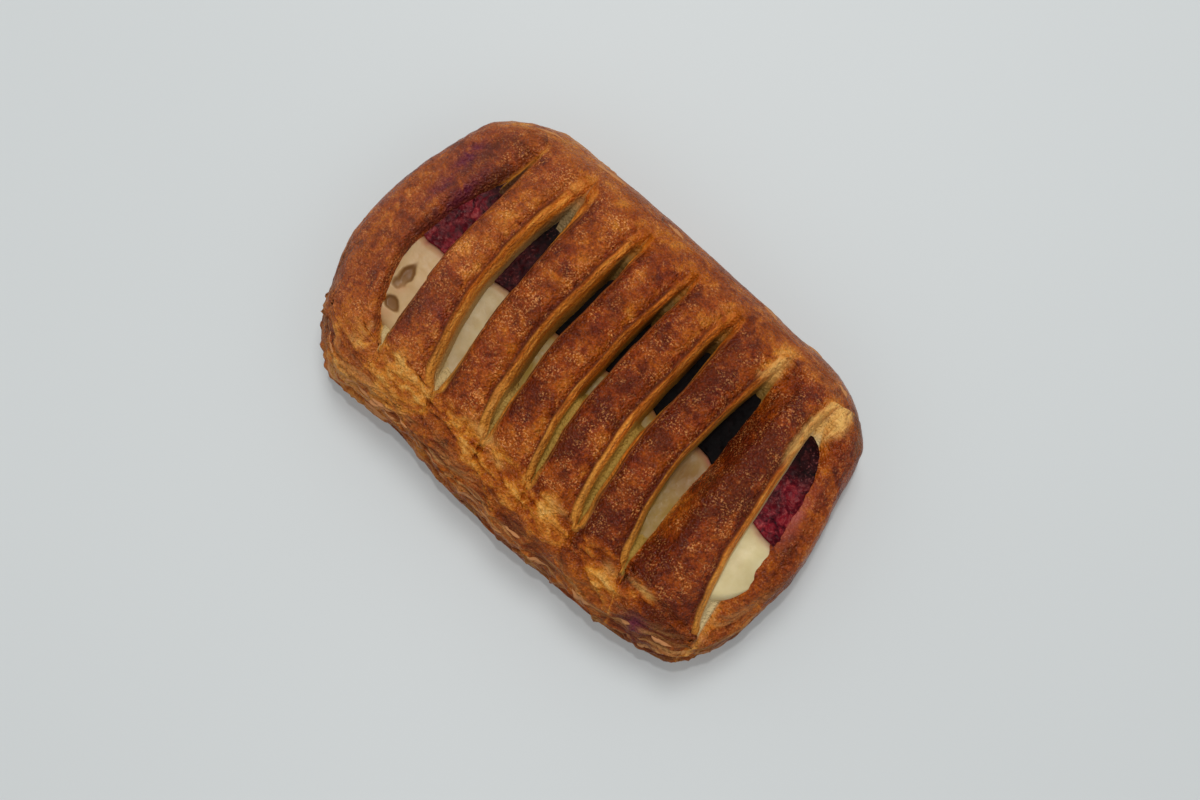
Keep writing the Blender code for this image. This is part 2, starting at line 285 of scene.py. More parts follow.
def section_profile():
    """One closed cross-section: over the top from -Y to +Y, under the edge and back along the base.

    The columns are the share across the half width, the share up from the widest level to the crest (or
    down to the base, when negative), and how far the point is tucked in under the edge.
    """
    sealed = side_profile(SEALED_POWER) * np.array([-1.0, 1.0])
    folded = side_profile(FOLDED_POWER)[::-1]
    top = np.concatenate([sealed, folded[1:]])
    turn = np.linspace(0.0, math.pi / 2, TUCK_STEPS + 1)[1:]
    under = np.stack([np.ones(TUCK_STEPS), -np.sin(turn), 1.0 - np.cos(turn)], axis=1)
    base_across = np.linspace(1.0, -1.0, BASE_STEPS + 1)[1:-1]
    base = np.stack([base_across, -np.ones(BASE_STEPS - 1), np.ones(BASE_STEPS - 1)], axis=1)
    back = under[::-1] * np.array([-1.0, 1.0, 1.0])
    return np.concatenate([np.column_stack([top, np.zeros(len(top))]), under, base, back])


def stations():
    """Span and share of every cross-section. The spans repeat as strip, wall, floor, wall."""
    counts = (CREST_STEPS, DOWN_STEPS, FLOOR_STEPS, UP_STEPS)
    spans, shares = [0], [0.0]
    for span in range(LAST_KNOT):
        count = END_STEPS if span in (0, LAST_KNOT - 1) else counts[span % 4]
        even = np.arange(1, count + 1) / count
        if span == 0:
            even = even**END_GROWTH
        if span == LAST_KNOT - 1:
            even = 1.0 - (1.0 - even) ** END_GROWTH
        spans += [span] * count
        shares += even.tolist()
    return np.array(spans)[:, None], np.array(shares)[:, None]


def lean(y):
    """How far the slits bend towards +X near the sealed side."""
    return LEAN * np.clip(-y / LEAN_REACH, 0.0, LEAN_MOST) ** LEAN_POWER


def lens(y, low, high, power):
    """A rounded window along Y: 1 half way between low and high, and 0 outside them."""
    return superellipse((y - (low + high) / 2) / ((high - low) / 2), power)


def gap_lens(slit, y):
    """How open a slit's gap over the filling is at y, from 0 to 1."""
    low, high = SLITS["low"][slit], SLITS["high"][slit]
    share = np.clip((2 * y - low - high) / (high - low), -1.0, 1.0)
    return superellipse(share - SLITS["skew"][slit] * (1.0 - share**2), GAP_POWER)


def knot_x(knot, y):
    """X of a knot between two spans at y.

    It stands off its slit's slanted and leaning middle line by half the crack, its side's share of the gap,
    and its slope at the strip's edge. Both lips of a slit wander a little, and each frays on its own.
    """
    slit = slit_at(knot)
    is_right = (knot - 1) % 4 >= 2
    is_edge = (knot - 1) % 4 % 3 == 0
    groove = lens(y, GROOVE_LOW, GROOVE_HIGH, GROOVE_POWER)
    opened = np.where(is_edge, lens(y, GROOVE_LOW, GROOVE_HIGH, EDGE_POWER), gap_lens(slit, y))
    hinge = SLITS["hinge"][slit]
    side_share = np.where(is_right, 1.0 - hinge, hinge)
    slope = np.where(is_right, SLITS["right"][slit], SLITS["left"][slit])
    held = (SHUT_GAP - CRACK) / 2 * lens(y, CUT_LOW, CUT_HIGH, CUT_POWER)
    gap = (SLITS["gap"][slit] - CRACK) * side_share * opened
    reach = CRACK / 2 + np.maximum(gap, held)
    fray = FRAY * rough_noise(stacked(knot * 5.3, y, 0.0), (1.0, 5.0, 1.0), 2, 31)
    reach = reach + np.where(is_edge, CREASE_HALF + (slope * (1.0 + fray) - CREASE_HALF) * groove, 0.0)
    wander = WANDER * groove * rough_noise(stacked(slit * 7.7, y, 0.0), (1.0, 13.0, 1.0), 2, 7)
    tilted = SLITS["x"][slit] + lean(y) - SLITS["tilt"][slit] * y
    inner = tilted + wander + np.where(is_right, reach, -reach)
    return np.where(knot == 0, -HALF_LENGTH, np.where(knot == LAST_KNOT, HALF_LENGTH, inner))


def end_x(share, edge):
    """X from the pastry's tip (share 0) to an edge (share 1), at even turns round the plan's corner."""
    inner = np.arcsin(np.clip(np.abs(edge) / HALF_LENGTH, 0.0, 1.0) ** (PLAN_POWER / 2))
    turn = math.pi / 2 + (inner - math.pi / 2) * share
    return np.sign(edge) * HALF_LENGTH * np.sin(turn) ** (2.0 / PLAN_POWER)


def station_x(span, share, y):
    """X of each cross-section at y, following the slits' edges."""
    low, high = knot_x(span, y), knot_x(span + 1, y)
    rounded = np.choose(span % 4, [share, share ** (1 / DOWN_OUT), share, share**UP_OUT])
    between = low + (high - low) * rounded
    between = np.where(span == 0, end_x(share, high), between)
    return np.where(span == LAST_KNOT - 1, end_x(1.0 - share, low), between)


def spread_x(span, share):
    """X of each cross-section on the flanks and the base, where the stations are spread evenly."""
    plain = station_x(span, share, np.zeros_like(share))
    inside = (span > 0) & (span < LAST_KNOT - 1)
    low, high = knot_x(1, np.zeros(1))[0], knot_x(LAST_KNOT - 1, np.zeros(1))[0]
    even = low + (high - low) * np.cumsum(inside, axis=0) / inside.sum()
    return np.where(inside, even, plain)


def drop(span, share, y, top, across):
    """How far each point lies below the smooth top.

    A strip's edges lie a shoulder lower than its crest, and a slit's foot a groove lower still, as deep as
    the filling's bed where its gap is open. Walls run between edge and foot, and a lobe falls to its slit.
    """
    slit = slit_at(span)
    rim = over_strips(across)
    groove = lens(y, GROOVE_LOW, GROOVE_HIGH, GROOVE_POWER)
    edge = rim * (CREASE_DEPTH + (SHOULDER - CREASE_DEPTH) * groove)
    foot = edge + rim * (CREASE_DEPTH + (GROOVE_DEPTH - CREASE_DEPTH) * groove)
    cut = smooth(lens(y, CUT_LOW, CUT_HIGH, CUT_POWER) / CUT_OPENS)
    foot = foot + np.maximum(SHUT_DEPTH - foot, 0.0) * cut
    foot = foot + (top - SLIT_FLOOR - foot) * smooth(gap_lens(slit, y) / GAP_OPENS)
    crest = edge * np.abs(2.0 * share - 1.0) ** SHOULDER_POWER
    down = edge + (foot - edge) * share**DOWN_DEEP
    up = foot + (edge - foot) * share
    between = np.choose(span % 4, [crest, down, foot, up])
    from_tip = np.where(span == 0, share, 1.0 - share)
    lobe = edge * smooth((from_tip - LOBE_FROM) / (1.0 - LOBE_FROM)) ** 2
    return np.where((span == 0) | (span == LAST_KNOT - 1), lobe, between)


def dough_grid():
    """The smooth dough as a grid of cross-sections along X by points round each.

    Each section is a superellipse over the widest level and a rounded tuck under it. Its width follows the
    plan's superellipse and its crest the end's, and the slits are dropped into it. It is returned with what
    each point is: its share across and up, its span and share between knots, and how deep it was dropped.
    """
    across, up, tucked = section_profile().T[:, None, :]
    span, share = stations()
    spread = smooth((np.abs(across) - SPREAD_FROM) / (SPREAD_TO - SPREAD_FROM))
    spread = np.where(up > 0.0, spread, 1.0)
    even = spread_x(span, share)
    y = across * HALF_WIDTH + np.zeros_like(even)
    for _ in range(SETTLING_ROUNDS):
        slit_x = station_x(span, share, y)
        x = slit_x + (even - slit_x) * spread
        y = across * HALF_WIDTH * superellipse(x / HALF_LENGTH, PLAN_POWER)

    crest = WIDEST_LEVEL + (CREST_HEIGHT - WIDEST_LEVEL) * superellipse(x / HALF_LENGTH, END_POWER)
    top = WIDEST_LEVEL + (crest - WIDEST_LEVEL) * np.clip(up, 0.0, 1.0)
    rise = np.array(STRIP_RISE)[(span + 2) // 4]
    rise = rise * (1.0 - smooth((np.abs(y) - RISE_FROM) / (RISE_TO - RISE_FROM)))
    rise = rise * smooth((HALF_LENGTH - np.abs(x)) / TUCK)
    past_end = np.clip((np.abs(x) - (HALF_LENGTH - TUCK)) / TUCK, 0.0, 1.0)
    base = WIDEST_LEVEL * (1.0 - np.sqrt(1.0 - past_end**2))
    under = WIDEST_LEVEL + np.clip(up, -1.0, 0.0) * (WIDEST_LEVEL - base)
    depth = np.where(up > 0.0, drop(span, share, y, top, across), 0.0)
    z = np.where(up > 0.0, top + rise - depth, under)

    plain_x, plain_y = x, y
    outward = np.sign(across) * np.abs(across) ** BUMP_FADE
    tuck = 1.0 - tucked * TUCK / HALF_WIDTH
    seam = SEAM_DEPTH * np.exp(-(((up - SEAM_UP) / SEAM_SPREAD) ** 2))
    seam = seam * superellipse(x / HALF_LENGTH, SEAM_POWER)
    side_bumps = np.where(across < 0, bumps(x, SEALED_BUMPS), bumps(x, FOLDED_BUMPS))
    y = y * tuck + outward * (side_bumps - np.where(across < 0, seam, 0.0))
    end_bumps = np.where(x < 0, bumps(y, LOW_END_BUMPS), bumps(y, HIGH_END_BUMPS))
    x = x + np.sign(x) * end_bumps * np.abs(x / HALF_LENGTH) ** END_FADE
    points = np.stack([x, y, z], axis=-1)
    middle = (points.min(axis=(0, 1)) + points.max(axis=(0, 1))) / 2
    points = points - np.array([middle[0], middle[1], 0.0])
    shape = points.shape[:2]
    return {
        "points": points,
        "shift": middle[:2],
        "across": np.broadcast_to(across, shape),
        "up": np.broadcast_to(up, shape),
        "span": np.broadcast_to(span, shape),
        "share": np.broadcast_to(share, shape),
        "x": plain_x,
        "y": plain_y,
        "depth": depth,
    }


def grid_normals(points):
    """Outward unit normals of a closed tube of rings, from the cross product of its two directions."""
    along = np.gradient(points, axis=0)
    around = np.roll(points, -1, axis=1) - np.roll(points, 1, axis=1)
    normal = np.cross(along, around)
    length = np.linalg.norm(normal, axis=-1, keepdims=True)
    return normal / np.maximum(length, 1e-9)


def tube_faces(rings, around):
    """Quads between neighbouring rings, and the triangles that close both ends on a tip."""
    ring, step = np.meshgrid(np.arange(rings - 1), np.arange(around), indexing="ij")
    following = (step + 1) % around
    corners = [ring * around + step, (ring + 1) * around + step]
    corners += [(ring + 1) * around + following, ring * around + following]
    quads = np.stack(corners, axis=-1).reshape(-1, 4)
    step = np.arange(around)
    following = (step + 1) % around
    first, last = rings * around, rings * around + 1
    start = np.stack([np.full(around, first), step, following], axis=1)
    end_ring = (rings - 1) * around
    finish = np.stack([np.full(around, last), end_ring + following, end_ring + step], axis=1)
    return quads, np.concatenate([start, finish])


def fill_mesh(name, points, quads, triangles, values):
    """A new smooth-shaded object from points in millimetres, faces, and one number per point and name."""
    mesh = bpy.data.meshes.new(name)
    sizes = np.concatenate([np.full(len(quads), 4), np.full(len(triangles), 3)])
    corners = np.concatenate([quads.reshape(-1), triangles.reshape(-1)])
    mesh.vertices.add(len(points))
    mesh.vertices.foreach_set("co", (points * MM).astype(np.float32).reshape(-1))
    mesh.loops.add(len(corners))
    mesh.loops.foreach_set("vertex_index", corners.astype(np.int32))
    mesh.polygons.add(len(sizes))
    starts = np.concatenate([[0], np.cumsum(sizes)[:-1]])
    mesh.polygons.foreach_set("loop_start", starts.astype(np.int32))
    mesh.polygons.foreach_set("use_smooth", np.ones(len(sizes), bool))
    mesh.update(calc_edges=True)
    if mesh.validate():
        raise RuntimeError(f"{name}: Blender had to repair the mesh")
    for key, value in values.items():
        layer = mesh.attributes.new(key, "FLOAT", "POINT")
        layer.data.foreach_set("value", value.astype(np.float32).reshape(-1))
    item = bpy.data.objects.new(name, mesh)
    bpy.context.scene.collection.objects.link(item)
    return item


def tube_object(name, points, values):
    """A closed tube: the first and last rings become single points in their middles."""
    rings, around, _ = points.shape
    tips = [points[0].mean(axis=0), points[-1].mean(axis=0)]
    body = np.concatenate([points[1:-1].reshape(-1, 3), tips])
    kept = {
        key: np.concatenate([value[1:-1].reshape(-1), [value[0].mean(), value[-1].mean()]])
        for key, value in values.items()
    }
    return fill_mesh(name, body, *tube_faces(rings - 2, around), kept)


# How dark the left lobe, the six strips and the right lobe are on the crust's colour ramps, from 0 for pale
# to 1 for purple brown
STRIP_BROWN = (0.57, 0.48, 0.58, 0.58, 0.62, 0.69, 0.75, 0.55)
# Rolled slopes, where the crust itself turns down into a slit: its slit, which wall it is, and how much
# browner it gets on its way down
ROLLED = ((0, LEFT_WALL, 0.10), (5, RIGHT_WALL, -0.10), (6, RIGHT_WALL, -0.06))
ROLL_TURN = 0.12
ROLL_GOLD = 0.26
# How much painted shade darkens the dough under each slit's folded end
FOLDED_END_PAINTED_SHADE = (1.0, 0.6, 0.7, 0.8, 0.8, 0.6, 0.0)
# How close the dough under each slit's other end is to the cheese's own colour, rather than olive
BED_PALE = (0.75, 0.7, 0.1, 0.0, 0.0, 0.0, 1.0)
# Where the cut walls fade into the crust at the folded ends, and where pale dough may show past a slit
CUT_FADES_AT = 24.5
PALE_ENDS_AT = 27.0
# A lip's thin line, and the pale line painted as a highlight on left walls: where they lie on the way
# down a wall, and how wide they are
LIP_WIDTH = 0.13
HIGHLIGHT_LINE_AT = 0.36
HIGHLIGHT_LINE_WIDTH = 0.10
# How much browner a strip's left side is, and how much less its right side: partly browning,
# partly painted shade on the left and painted light on the right
LEFT_BROWNING_AND_PAINTED_SHADE = 0.13
RIGHT_PALING_AND_PAINTED_LIGHT = 0.09
# Millimetres of a wall's way down to one of its layers
WALL_PITCH = 0.95
# The line where the strips end over the sealed rim: how far out, its waves, and its fingers beside the slits
STRIP_LINE = 27.4
LINE_WAVES = 1.6
FINGER = 2.4
FINGER_WIDTH = 3.6
RIM_STARTS = 25.5
LOBE_STARTS = 50.0
# Browner and paler spots: x, y, spreads and change. The one at the first slit's upper end is a
# painted shadow
BROWN_SPOTS = (
    (-40, -17, 4, 5, 0.16),
    (-24, -25, 3.2, 4, 0.28),
    (2, -24, 4, 4, 0.10),
    (52, -33, 7, 5, 0.30),
    (38, -24, 5, 6, 0.14),
    (-58, -8, 5, 12, 0.06),
    (14, -29, 5, 3, -0.24),
    (-7, -27, 8, 2.5, -0.20),
    (44, -29.5, 5, 1.4, -0.26),
    (-52, -31, 8, 4, 0.03),
    (36, -33.5, 8, 3.5, -0.38),
    (0, -33.5, 12, 3, -0.16),
    (47.5, 30.5, 3.4, 5, -0.42),
    (30, 31, 2.6, 5, -0.34),
    (14, 32, 3, 4, -0.16),
    (-57, 33, 5, 5, -0.10),
    # A painted shadow where the first slit's upper end runs under the strip
    (-48.6, 19, 1.7, 5.5, 0.42),
    (-4.7, -14, 3.6, 6, 0.16),
    (8.4, -16.4, 3.6, 6, 0.14),
    (24.6, -14, 3, 7, -0.05),
    (20, 13, 4, 9, 0.08),
    (-42, 2, 2.6, 6, -0.16),
    (-36, 4, 1.6, 10, 0.10),
    (-9.5, -22.5, 5, 2.4, -0.26),
    (-22, 2, 2.6, 8, -0.12),
    (-21, 28, 4, 4, -0.16),
    (-6, 22, 2.4, 6, -0.16),
    (7.5, -24, 3.4, 2.4, -0.18),
    (23.4, 25, 3.6, 6, -0.14),
    (-38, 24, 3, 6, 0.08),
    (-61, 14, 2.4, 9, -0.10),
)
PALE_SPOTS = (
    (49.3, 30.5, 3.4, 5.6, 1.2),
    (46.9, 21, 1.5, 7, 0.75),
    (30, 30.5, 3, 5, 0.75),
    (13.5, 33, 2.5, 3, 0.3),
    (-45.5, -26.5, 2.2, 2, 0.5),
    (16, -28.4, 5, 1.4, 0.4),
    (-8, -27.2, 5, 1.4, 0.4),
    (43.5, -28.6, 4.5, 1, 0.5),
    (34, -30.5, 5, 1.6, 0.35),
    (-46, -30.5, 4, 1.6, 0.35),
    (-36, -30, 3, 1.2, 0.35),
    (-1, -29.8, 4, 1.6, 0.4),
)
STAINS = (
    (-57.8, 19, 1.9, 7, 1.3),
    (-56.8, 8, 1.6, 4, 1.2),
    (-51.5, 11, 1.7, 9, 1.1),
    (46.8, -35.5, 2.6, 2.2, 1.8),
    (57.4, 8, 2.4, 6.5, 1.2),
    (-35, -15, 2.5, 5, 0.3),
)


def crust_regions(grid):
    """What each point of the dough is, as shares from 0 to 1, and how far its slit's edge is.

    cut is a cut wall, rolled a rolled slope's browning, edge the flaky sides, bed the dough under a slit's
    ends, lip the thin line along a strip's edge, the highlight line a pale line painted along a left wall as a
    highlight, opened where pale dough may show, tone the darker and lighter side of a strip, partly browning
    and partly painted shade on its left side and painted light on its right, and arc the way down a wall in
    millimetres.
    """
    span, share, across, up = grid["span"], grid["share"], grid["across"], grid["up"]
    x, y, depth = grid["x"], grid["y"], grid["depth"]
    inner = (span > 0) & (span < LAST_KNOT - 1)
    kind = np.where(inner, span % 4, STRIP)
    slit = slit_at(span)
    strips = over_strips(across) * (up > 0.0)
    groove = lens(y, GROOVE_LOW - 1.5, GROOVE_HIGH + 1.5, GROOVE_POWER) * strips
    wall = (kind == LEFT_WALL) | (kind == RIGHT_WALL)
    down = np.where(kind == LEFT_WALL, share, 1.0 - share)
    is_rolled, rolled = np.zeros(span.shape), np.zeros(span.shape)
    for number, side, browning in ROLLED:
        here = (slit == number) & (kind == side)
        is_rolled = np.where(here, 1.0, is_rolled)
        rolled = np.where(here, browning * down, rolled)
    turned = smooth((1.0 - down) / ROLL_TURN)
    cut = np.where(wall, 1.0 - is_rolled * turned, np.where(kind == FLOOR, 1.0, 0.0))
    cut = cut * smooth(groove * 1.6) * (1.0 - 0.55 * smooth((y - CUT_FADES_AT) / 5.0))
    foot = wall * smooth((down - 0.55) / 0.3) * smooth((depth - 2.5) / 2.0)
    last_step = np.where((kind == STRIP) & (span < LAST_KNOT - 1), smooth((share - 0.93) / 0.07), 0.0)
    fade = (1.0 - is_rolled) * groove * smooth((y + 27.0) / 6.0) * smooth((30.0 - y) / 6.0)
    gold = smooth((down - 0.6) / 0.3) * is_rolled * (1.0 - smooth((y - 1.0) / 5.0))
    on_strip = np.where((kind == STRIP) & inner, share, 0.5)
    # A strip's sides: browner with painted shade on the left, lighter with painted light on the right
    tone = LEFT_BROWNING_AND_PAINTED_SHADE * (1.0 - smooth(on_strip / 0.4)) - RIGHT_PALING_AND_PAINTED_LIGHT * smooth((on_strip - 0.5) / 0.35)
    flank = np.where(up > 0.0, smooth((np.abs(across) - 0.80) / 0.16), 1.0)
    past_end = smooth((np.abs(x) - 56.0) / 7.0) * smooth((20.0 - grid["points"][..., 2]) / 8.0)
    return {
        "cut": cut,
        "rolled": rolled - ROLL_GOLD * gold,
        "edge": np.maximum(flank, past_end),
        "slit": slit,
        "bed": np.where(kind == FLOOR, 1.0, foot) * (1.0 - is_rolled) * cut,
        "lip": np.maximum(np.exp(-((down / LIP_WIDTH) ** 2)) * wall, last_step) * fade,
        # A pale line painted as a highlight along each left wall
        "painted_highlight_line": np.exp(-(((down - HIGHLIGHT_LINE_AT) / HIGHLIGHT_LINE_WIDTH) ** 2)) * (kind == LEFT_WALL) * fade,
        "opened": (y < PALE_ENDS_AT) | (kind != STRIP) | (span == LAST_KNOT - 1),
        "tone": tone * strips,
        "arc": np.hypot(x - knot_x(span + (kind == RIGHT_WALL), y), depth),
    }


def along_zero(noise, width):
    """1 along the lines where a noise is 0, falling straight to 0 at this width beside them."""
    return 1.0 - np.minimum(np.abs(noise) / width, 1.0)


def crust_forms(grid):
    """The noises and masks that the crust's relief and its browning share.

    Blisters are rough lumps and domes pillows on them. Folds and creases of the sealed rim are the zero lines
    of slanted noise, and the lobes' rings are noise drawn out round their ends.
    """
    points, x, y = grid["points"], grid["x"], grid["y"]
    is_top = grid["up"] > 0.0
    blister = rough_noise(points, 6.0, 3, 3, keep=0.62)
    domes = pillow_noise(points + 0.6 * stacked(blister, blister, blister), (2.5, 3.1, 2.5), 5)
    slanted = stacked(points[..., 0] + 0.8 * points[..., 1], points[..., 1], points[..., 2])
    rim = smooth((-y - RIM_STARTS) / 2.5) * is_top
    return {
        "blister": blister,
        "domes": domes - 0.4,
        "grain": rough_noise(points, 1.5, 2, 11),
        "wrinkle": rough_noise(points, (11.0, 3.2, 8.0), 2, 15),
        "crumple": rough_noise(points, (6.0, 3.0, 3.0), 3, 41, keep=0.6),
        "warp": 2.6 * rough_noise(points, (15.0, 15.0, 8.0), 3, 21),
        "arc": 0.4 * rough_noise(points, (4.0, 11.0, 4.0), 2, 51),
        "fold": along_zero(rough_noise(slanted, (10.5, 4.2, 5.5), 3, 43, keep=0.55), 0.24),
        "crease": along_zero(rough_noise(slanted, (9.0, 3.6, 5.0), 2, 49), 0.12),
        "rings": rough_noise(stacked(x + 0.25 * y * y / 30.0, y, 0.0), (1.9, 15.0, 1.0), 3, 45, keep=0.6),
        "rim": rim,
        "lobe": smooth((np.abs(x) - LOBE_STARTS) / 5.0) * is_top * (1.0 - 0.7 * rim),
        "side": 0.42 + 0.58 * smooth(-(grid["across"] + 0.15) / 0.5),
    }


def thin_layers(points, level):
    """How far each of the flank's layers stands out by its own number, and the stack's relief from it.

    A layer's number picks how far it stands out, its share of the pitch rounds its edge, and slow noise tears
    the stack away in places.
    """
    index = np.floor(level)
    jut = lump_noise(stacked(index * 3.7, points[..., 0] / 9.0, points[..., 1] / 9.0), 1.0, 25)
    torn = smooth(0.5 + 1.4 * rough_noise(points, (9.0, 9.0, 5.0), 2, 27))
    rounded = np.sin(math.pi * np.clip(level - index, 0.0, 1.0)) ** 0.6
    return jut, (0.42 * jut + 0.34 * rounded - 0.2) * torn


def wall_layers(level, y, slit):
    """The finer stack of a cut wall: each layer's own number and its share of the pitch set its relief."""
    index = np.floor(level)
    jut = lump_noise(stacked(index * 2.9, y / 5.0, slit * 3.1), 1.0, 55)
    return 0.20 * jut + 0.16 * np.sin(math.pi * (level - index))


def past_strips(x, y, slit):
    """1 just past the wavy line where the strips end over the sealed rim, fading out down the flank."""
    finger = FINGER * np.exp(-(((x - (SLITS["x"][slit] + lean(y))) / FINGER_WIDTH) ** 2))
    line = STRIP_LINE - finger + LINE_WAVES * rough_noise(stacked(x, 0.0, 0.0), 7.0, 2, 61)
    return window(-y - line, 0.0, 1.4, 2.0, 8.0) * (np.abs(x) < 62.0)


def crust_relief(grid, regions, settings):
    """Height of the crust over the smooth dough, and how browned, flaky and stained each point is.

    The top has rough blisters with pillow-like domes on them, the flank is a stack of thin layers with a
    crumpled rim over it, and the cut walls are a finer stack. Some light and shade is painted into the
    browning: on the strips' sides, the rim's creases, the flank's layers and one shadow spot.
    """
    points, x, y, up = grid["points"], grid["x"], grid["y"], grid["up"]
    cut, edge, slit = regions["cut"], regions["edge"], regions["slit"]
    forms = crust_forms(grid)
    crumple, fold, crease, side = forms["crumple"], forms["fold"], forms["crease"], forms["side"]
    rim, lobe, rings, domes = forms["rim"], forms["lobe"], forms["rings"], forms["domes"]
    stack = points[..., 2] + forms["warp"]
    arc = regions["arc"] + forms["arc"]
    jut, ledge = thin_layers(points, stack / settings.layer_pitch)

    top = settings.blister_height * forms["blister"] + settings.dome_height * domes + 0.06 * forms["grain"]
    top = top + 0.32 * rough_noise(points, (13.0, 13.0, 40.0), 2, 13) + 0.16 * forms["wrinkle"]
    rough = top * (1.0 - edge) + edge * side * (ledge + 0.34 * crumple) + edge * 0.6 * top
    rough = rough + rim * (0.4 * crumple + 0.9 * fold - 0.45 * crease - 0.3) + 0.28 * lobe * rings
    wall = wall_layers(arc / WALL_PITCH, y, slit) + 0.06 * forms["grain"]
    relief = rough * (1.0 - cut) + wall * cut * (1.0 - 0.85 * regions["bed"])
    relief = relief * np.where(up < 0.0, smooth(points[..., 2] / 3.0), 1.0)

    rim_low = smooth((-y - RIM_STARTS - 1.2 * crumple) / 3.0)
    rim_high = smooth((y - 30.0 - 1.5 * crumple) / 5.0)
    # Browning, with painted light and shade added in the lines below
    brown_and_painted_light = np.array(STRIP_BROWN)[(grid["span"] + 2) // 4] + 0.11 * forms["blister"] + 0.08 * domes
    brown_and_painted_light = brown_and_painted_light + 0.20 * rough_noise(points, 12.0, 2, 71) + 0.10 * forms["wrinkle"]
    # Its last term: on the flaky sides, layers that stand out are lighter and layers set back darker, painted
    # light and shade
    brown_and_painted_light = brown_and_painted_light - 0.06 * rim_low - 0.10 * rim_high + 0.16 * edge * side * (0.5 - jut)
    # On the sealed rim, folds are paler and creases darker: partly painted light and shade along the relief
    brown_and_painted_light = brown_and_painted_light - rim * (0.24 * fold - 0.17 * crease - 0.12 * rough_noise(points, 5.0, 2, 47))
    brown_and_painted_light = brown_and_painted_light - 0.16 * lobe * rings
    brown_and_painted_light = brown_and_painted_light + regions["rolled"] + regions["tone"] + 0.2 * regions["lip"] + 0.05 * (up < 0.0)
    brown_and_painted_light = brown_and_painted_light + spots(x, y, BROWN_SPOTS) * (up > -0.2)
    pale_and_painted_highlight = smooth((spots(x, y, PALE_SPOTS) + 0.25 * crumple - 0.12) / 0.6) * regions["opened"]
    stain = spots(x, y, STAINS) * (up > 0.0) * (0.75 + 0.5 * crumple)
    values = {
        "brown_and_painted_light": brown_and_painted_light,
        "cut": cut,
        "edge": edge * side,
        "layer": np.where(cut > 0.5, arc, stack),
        "depth": grid["depth"],
        "stain": np.clip(stain, 0.0, 1.0),
        # Pale dough, with the painted highlight line of the left walls added
        "pale_and_painted_highlight": np.clip(pale_and_painted_highlight + 0.25 * regions["painted_highlight_line"], 0.0, 1.0) * (up > 0.0),
        "golden": np.clip(0.7 * rim_low + 0.6 * rim_high, 0.0, 1.0),
        # Less grain and fewer painted glints on the rims and lobes
        "less_grain_and_painted_glints": np.clip(0.6 * rim_low + 0.5 * rim_high + 0.5 * lobe, 0.0, 0.75),
        "bed": regions["bed"],
        # Painted shade: the dough darkens towards the folded ends, where the slits run under the strips
        "painted_shade_at_folded_end": smooth((y - 10.0) / 9.0) * np.array(FOLDED_END_PAINTED_SHADE)[slit],
        "bed_pale": np.array(BED_PALE)[slit],
        "lip": regions["lip"],
    }
    return relief, settings.strip_step * past_strips(x, y, slit), values


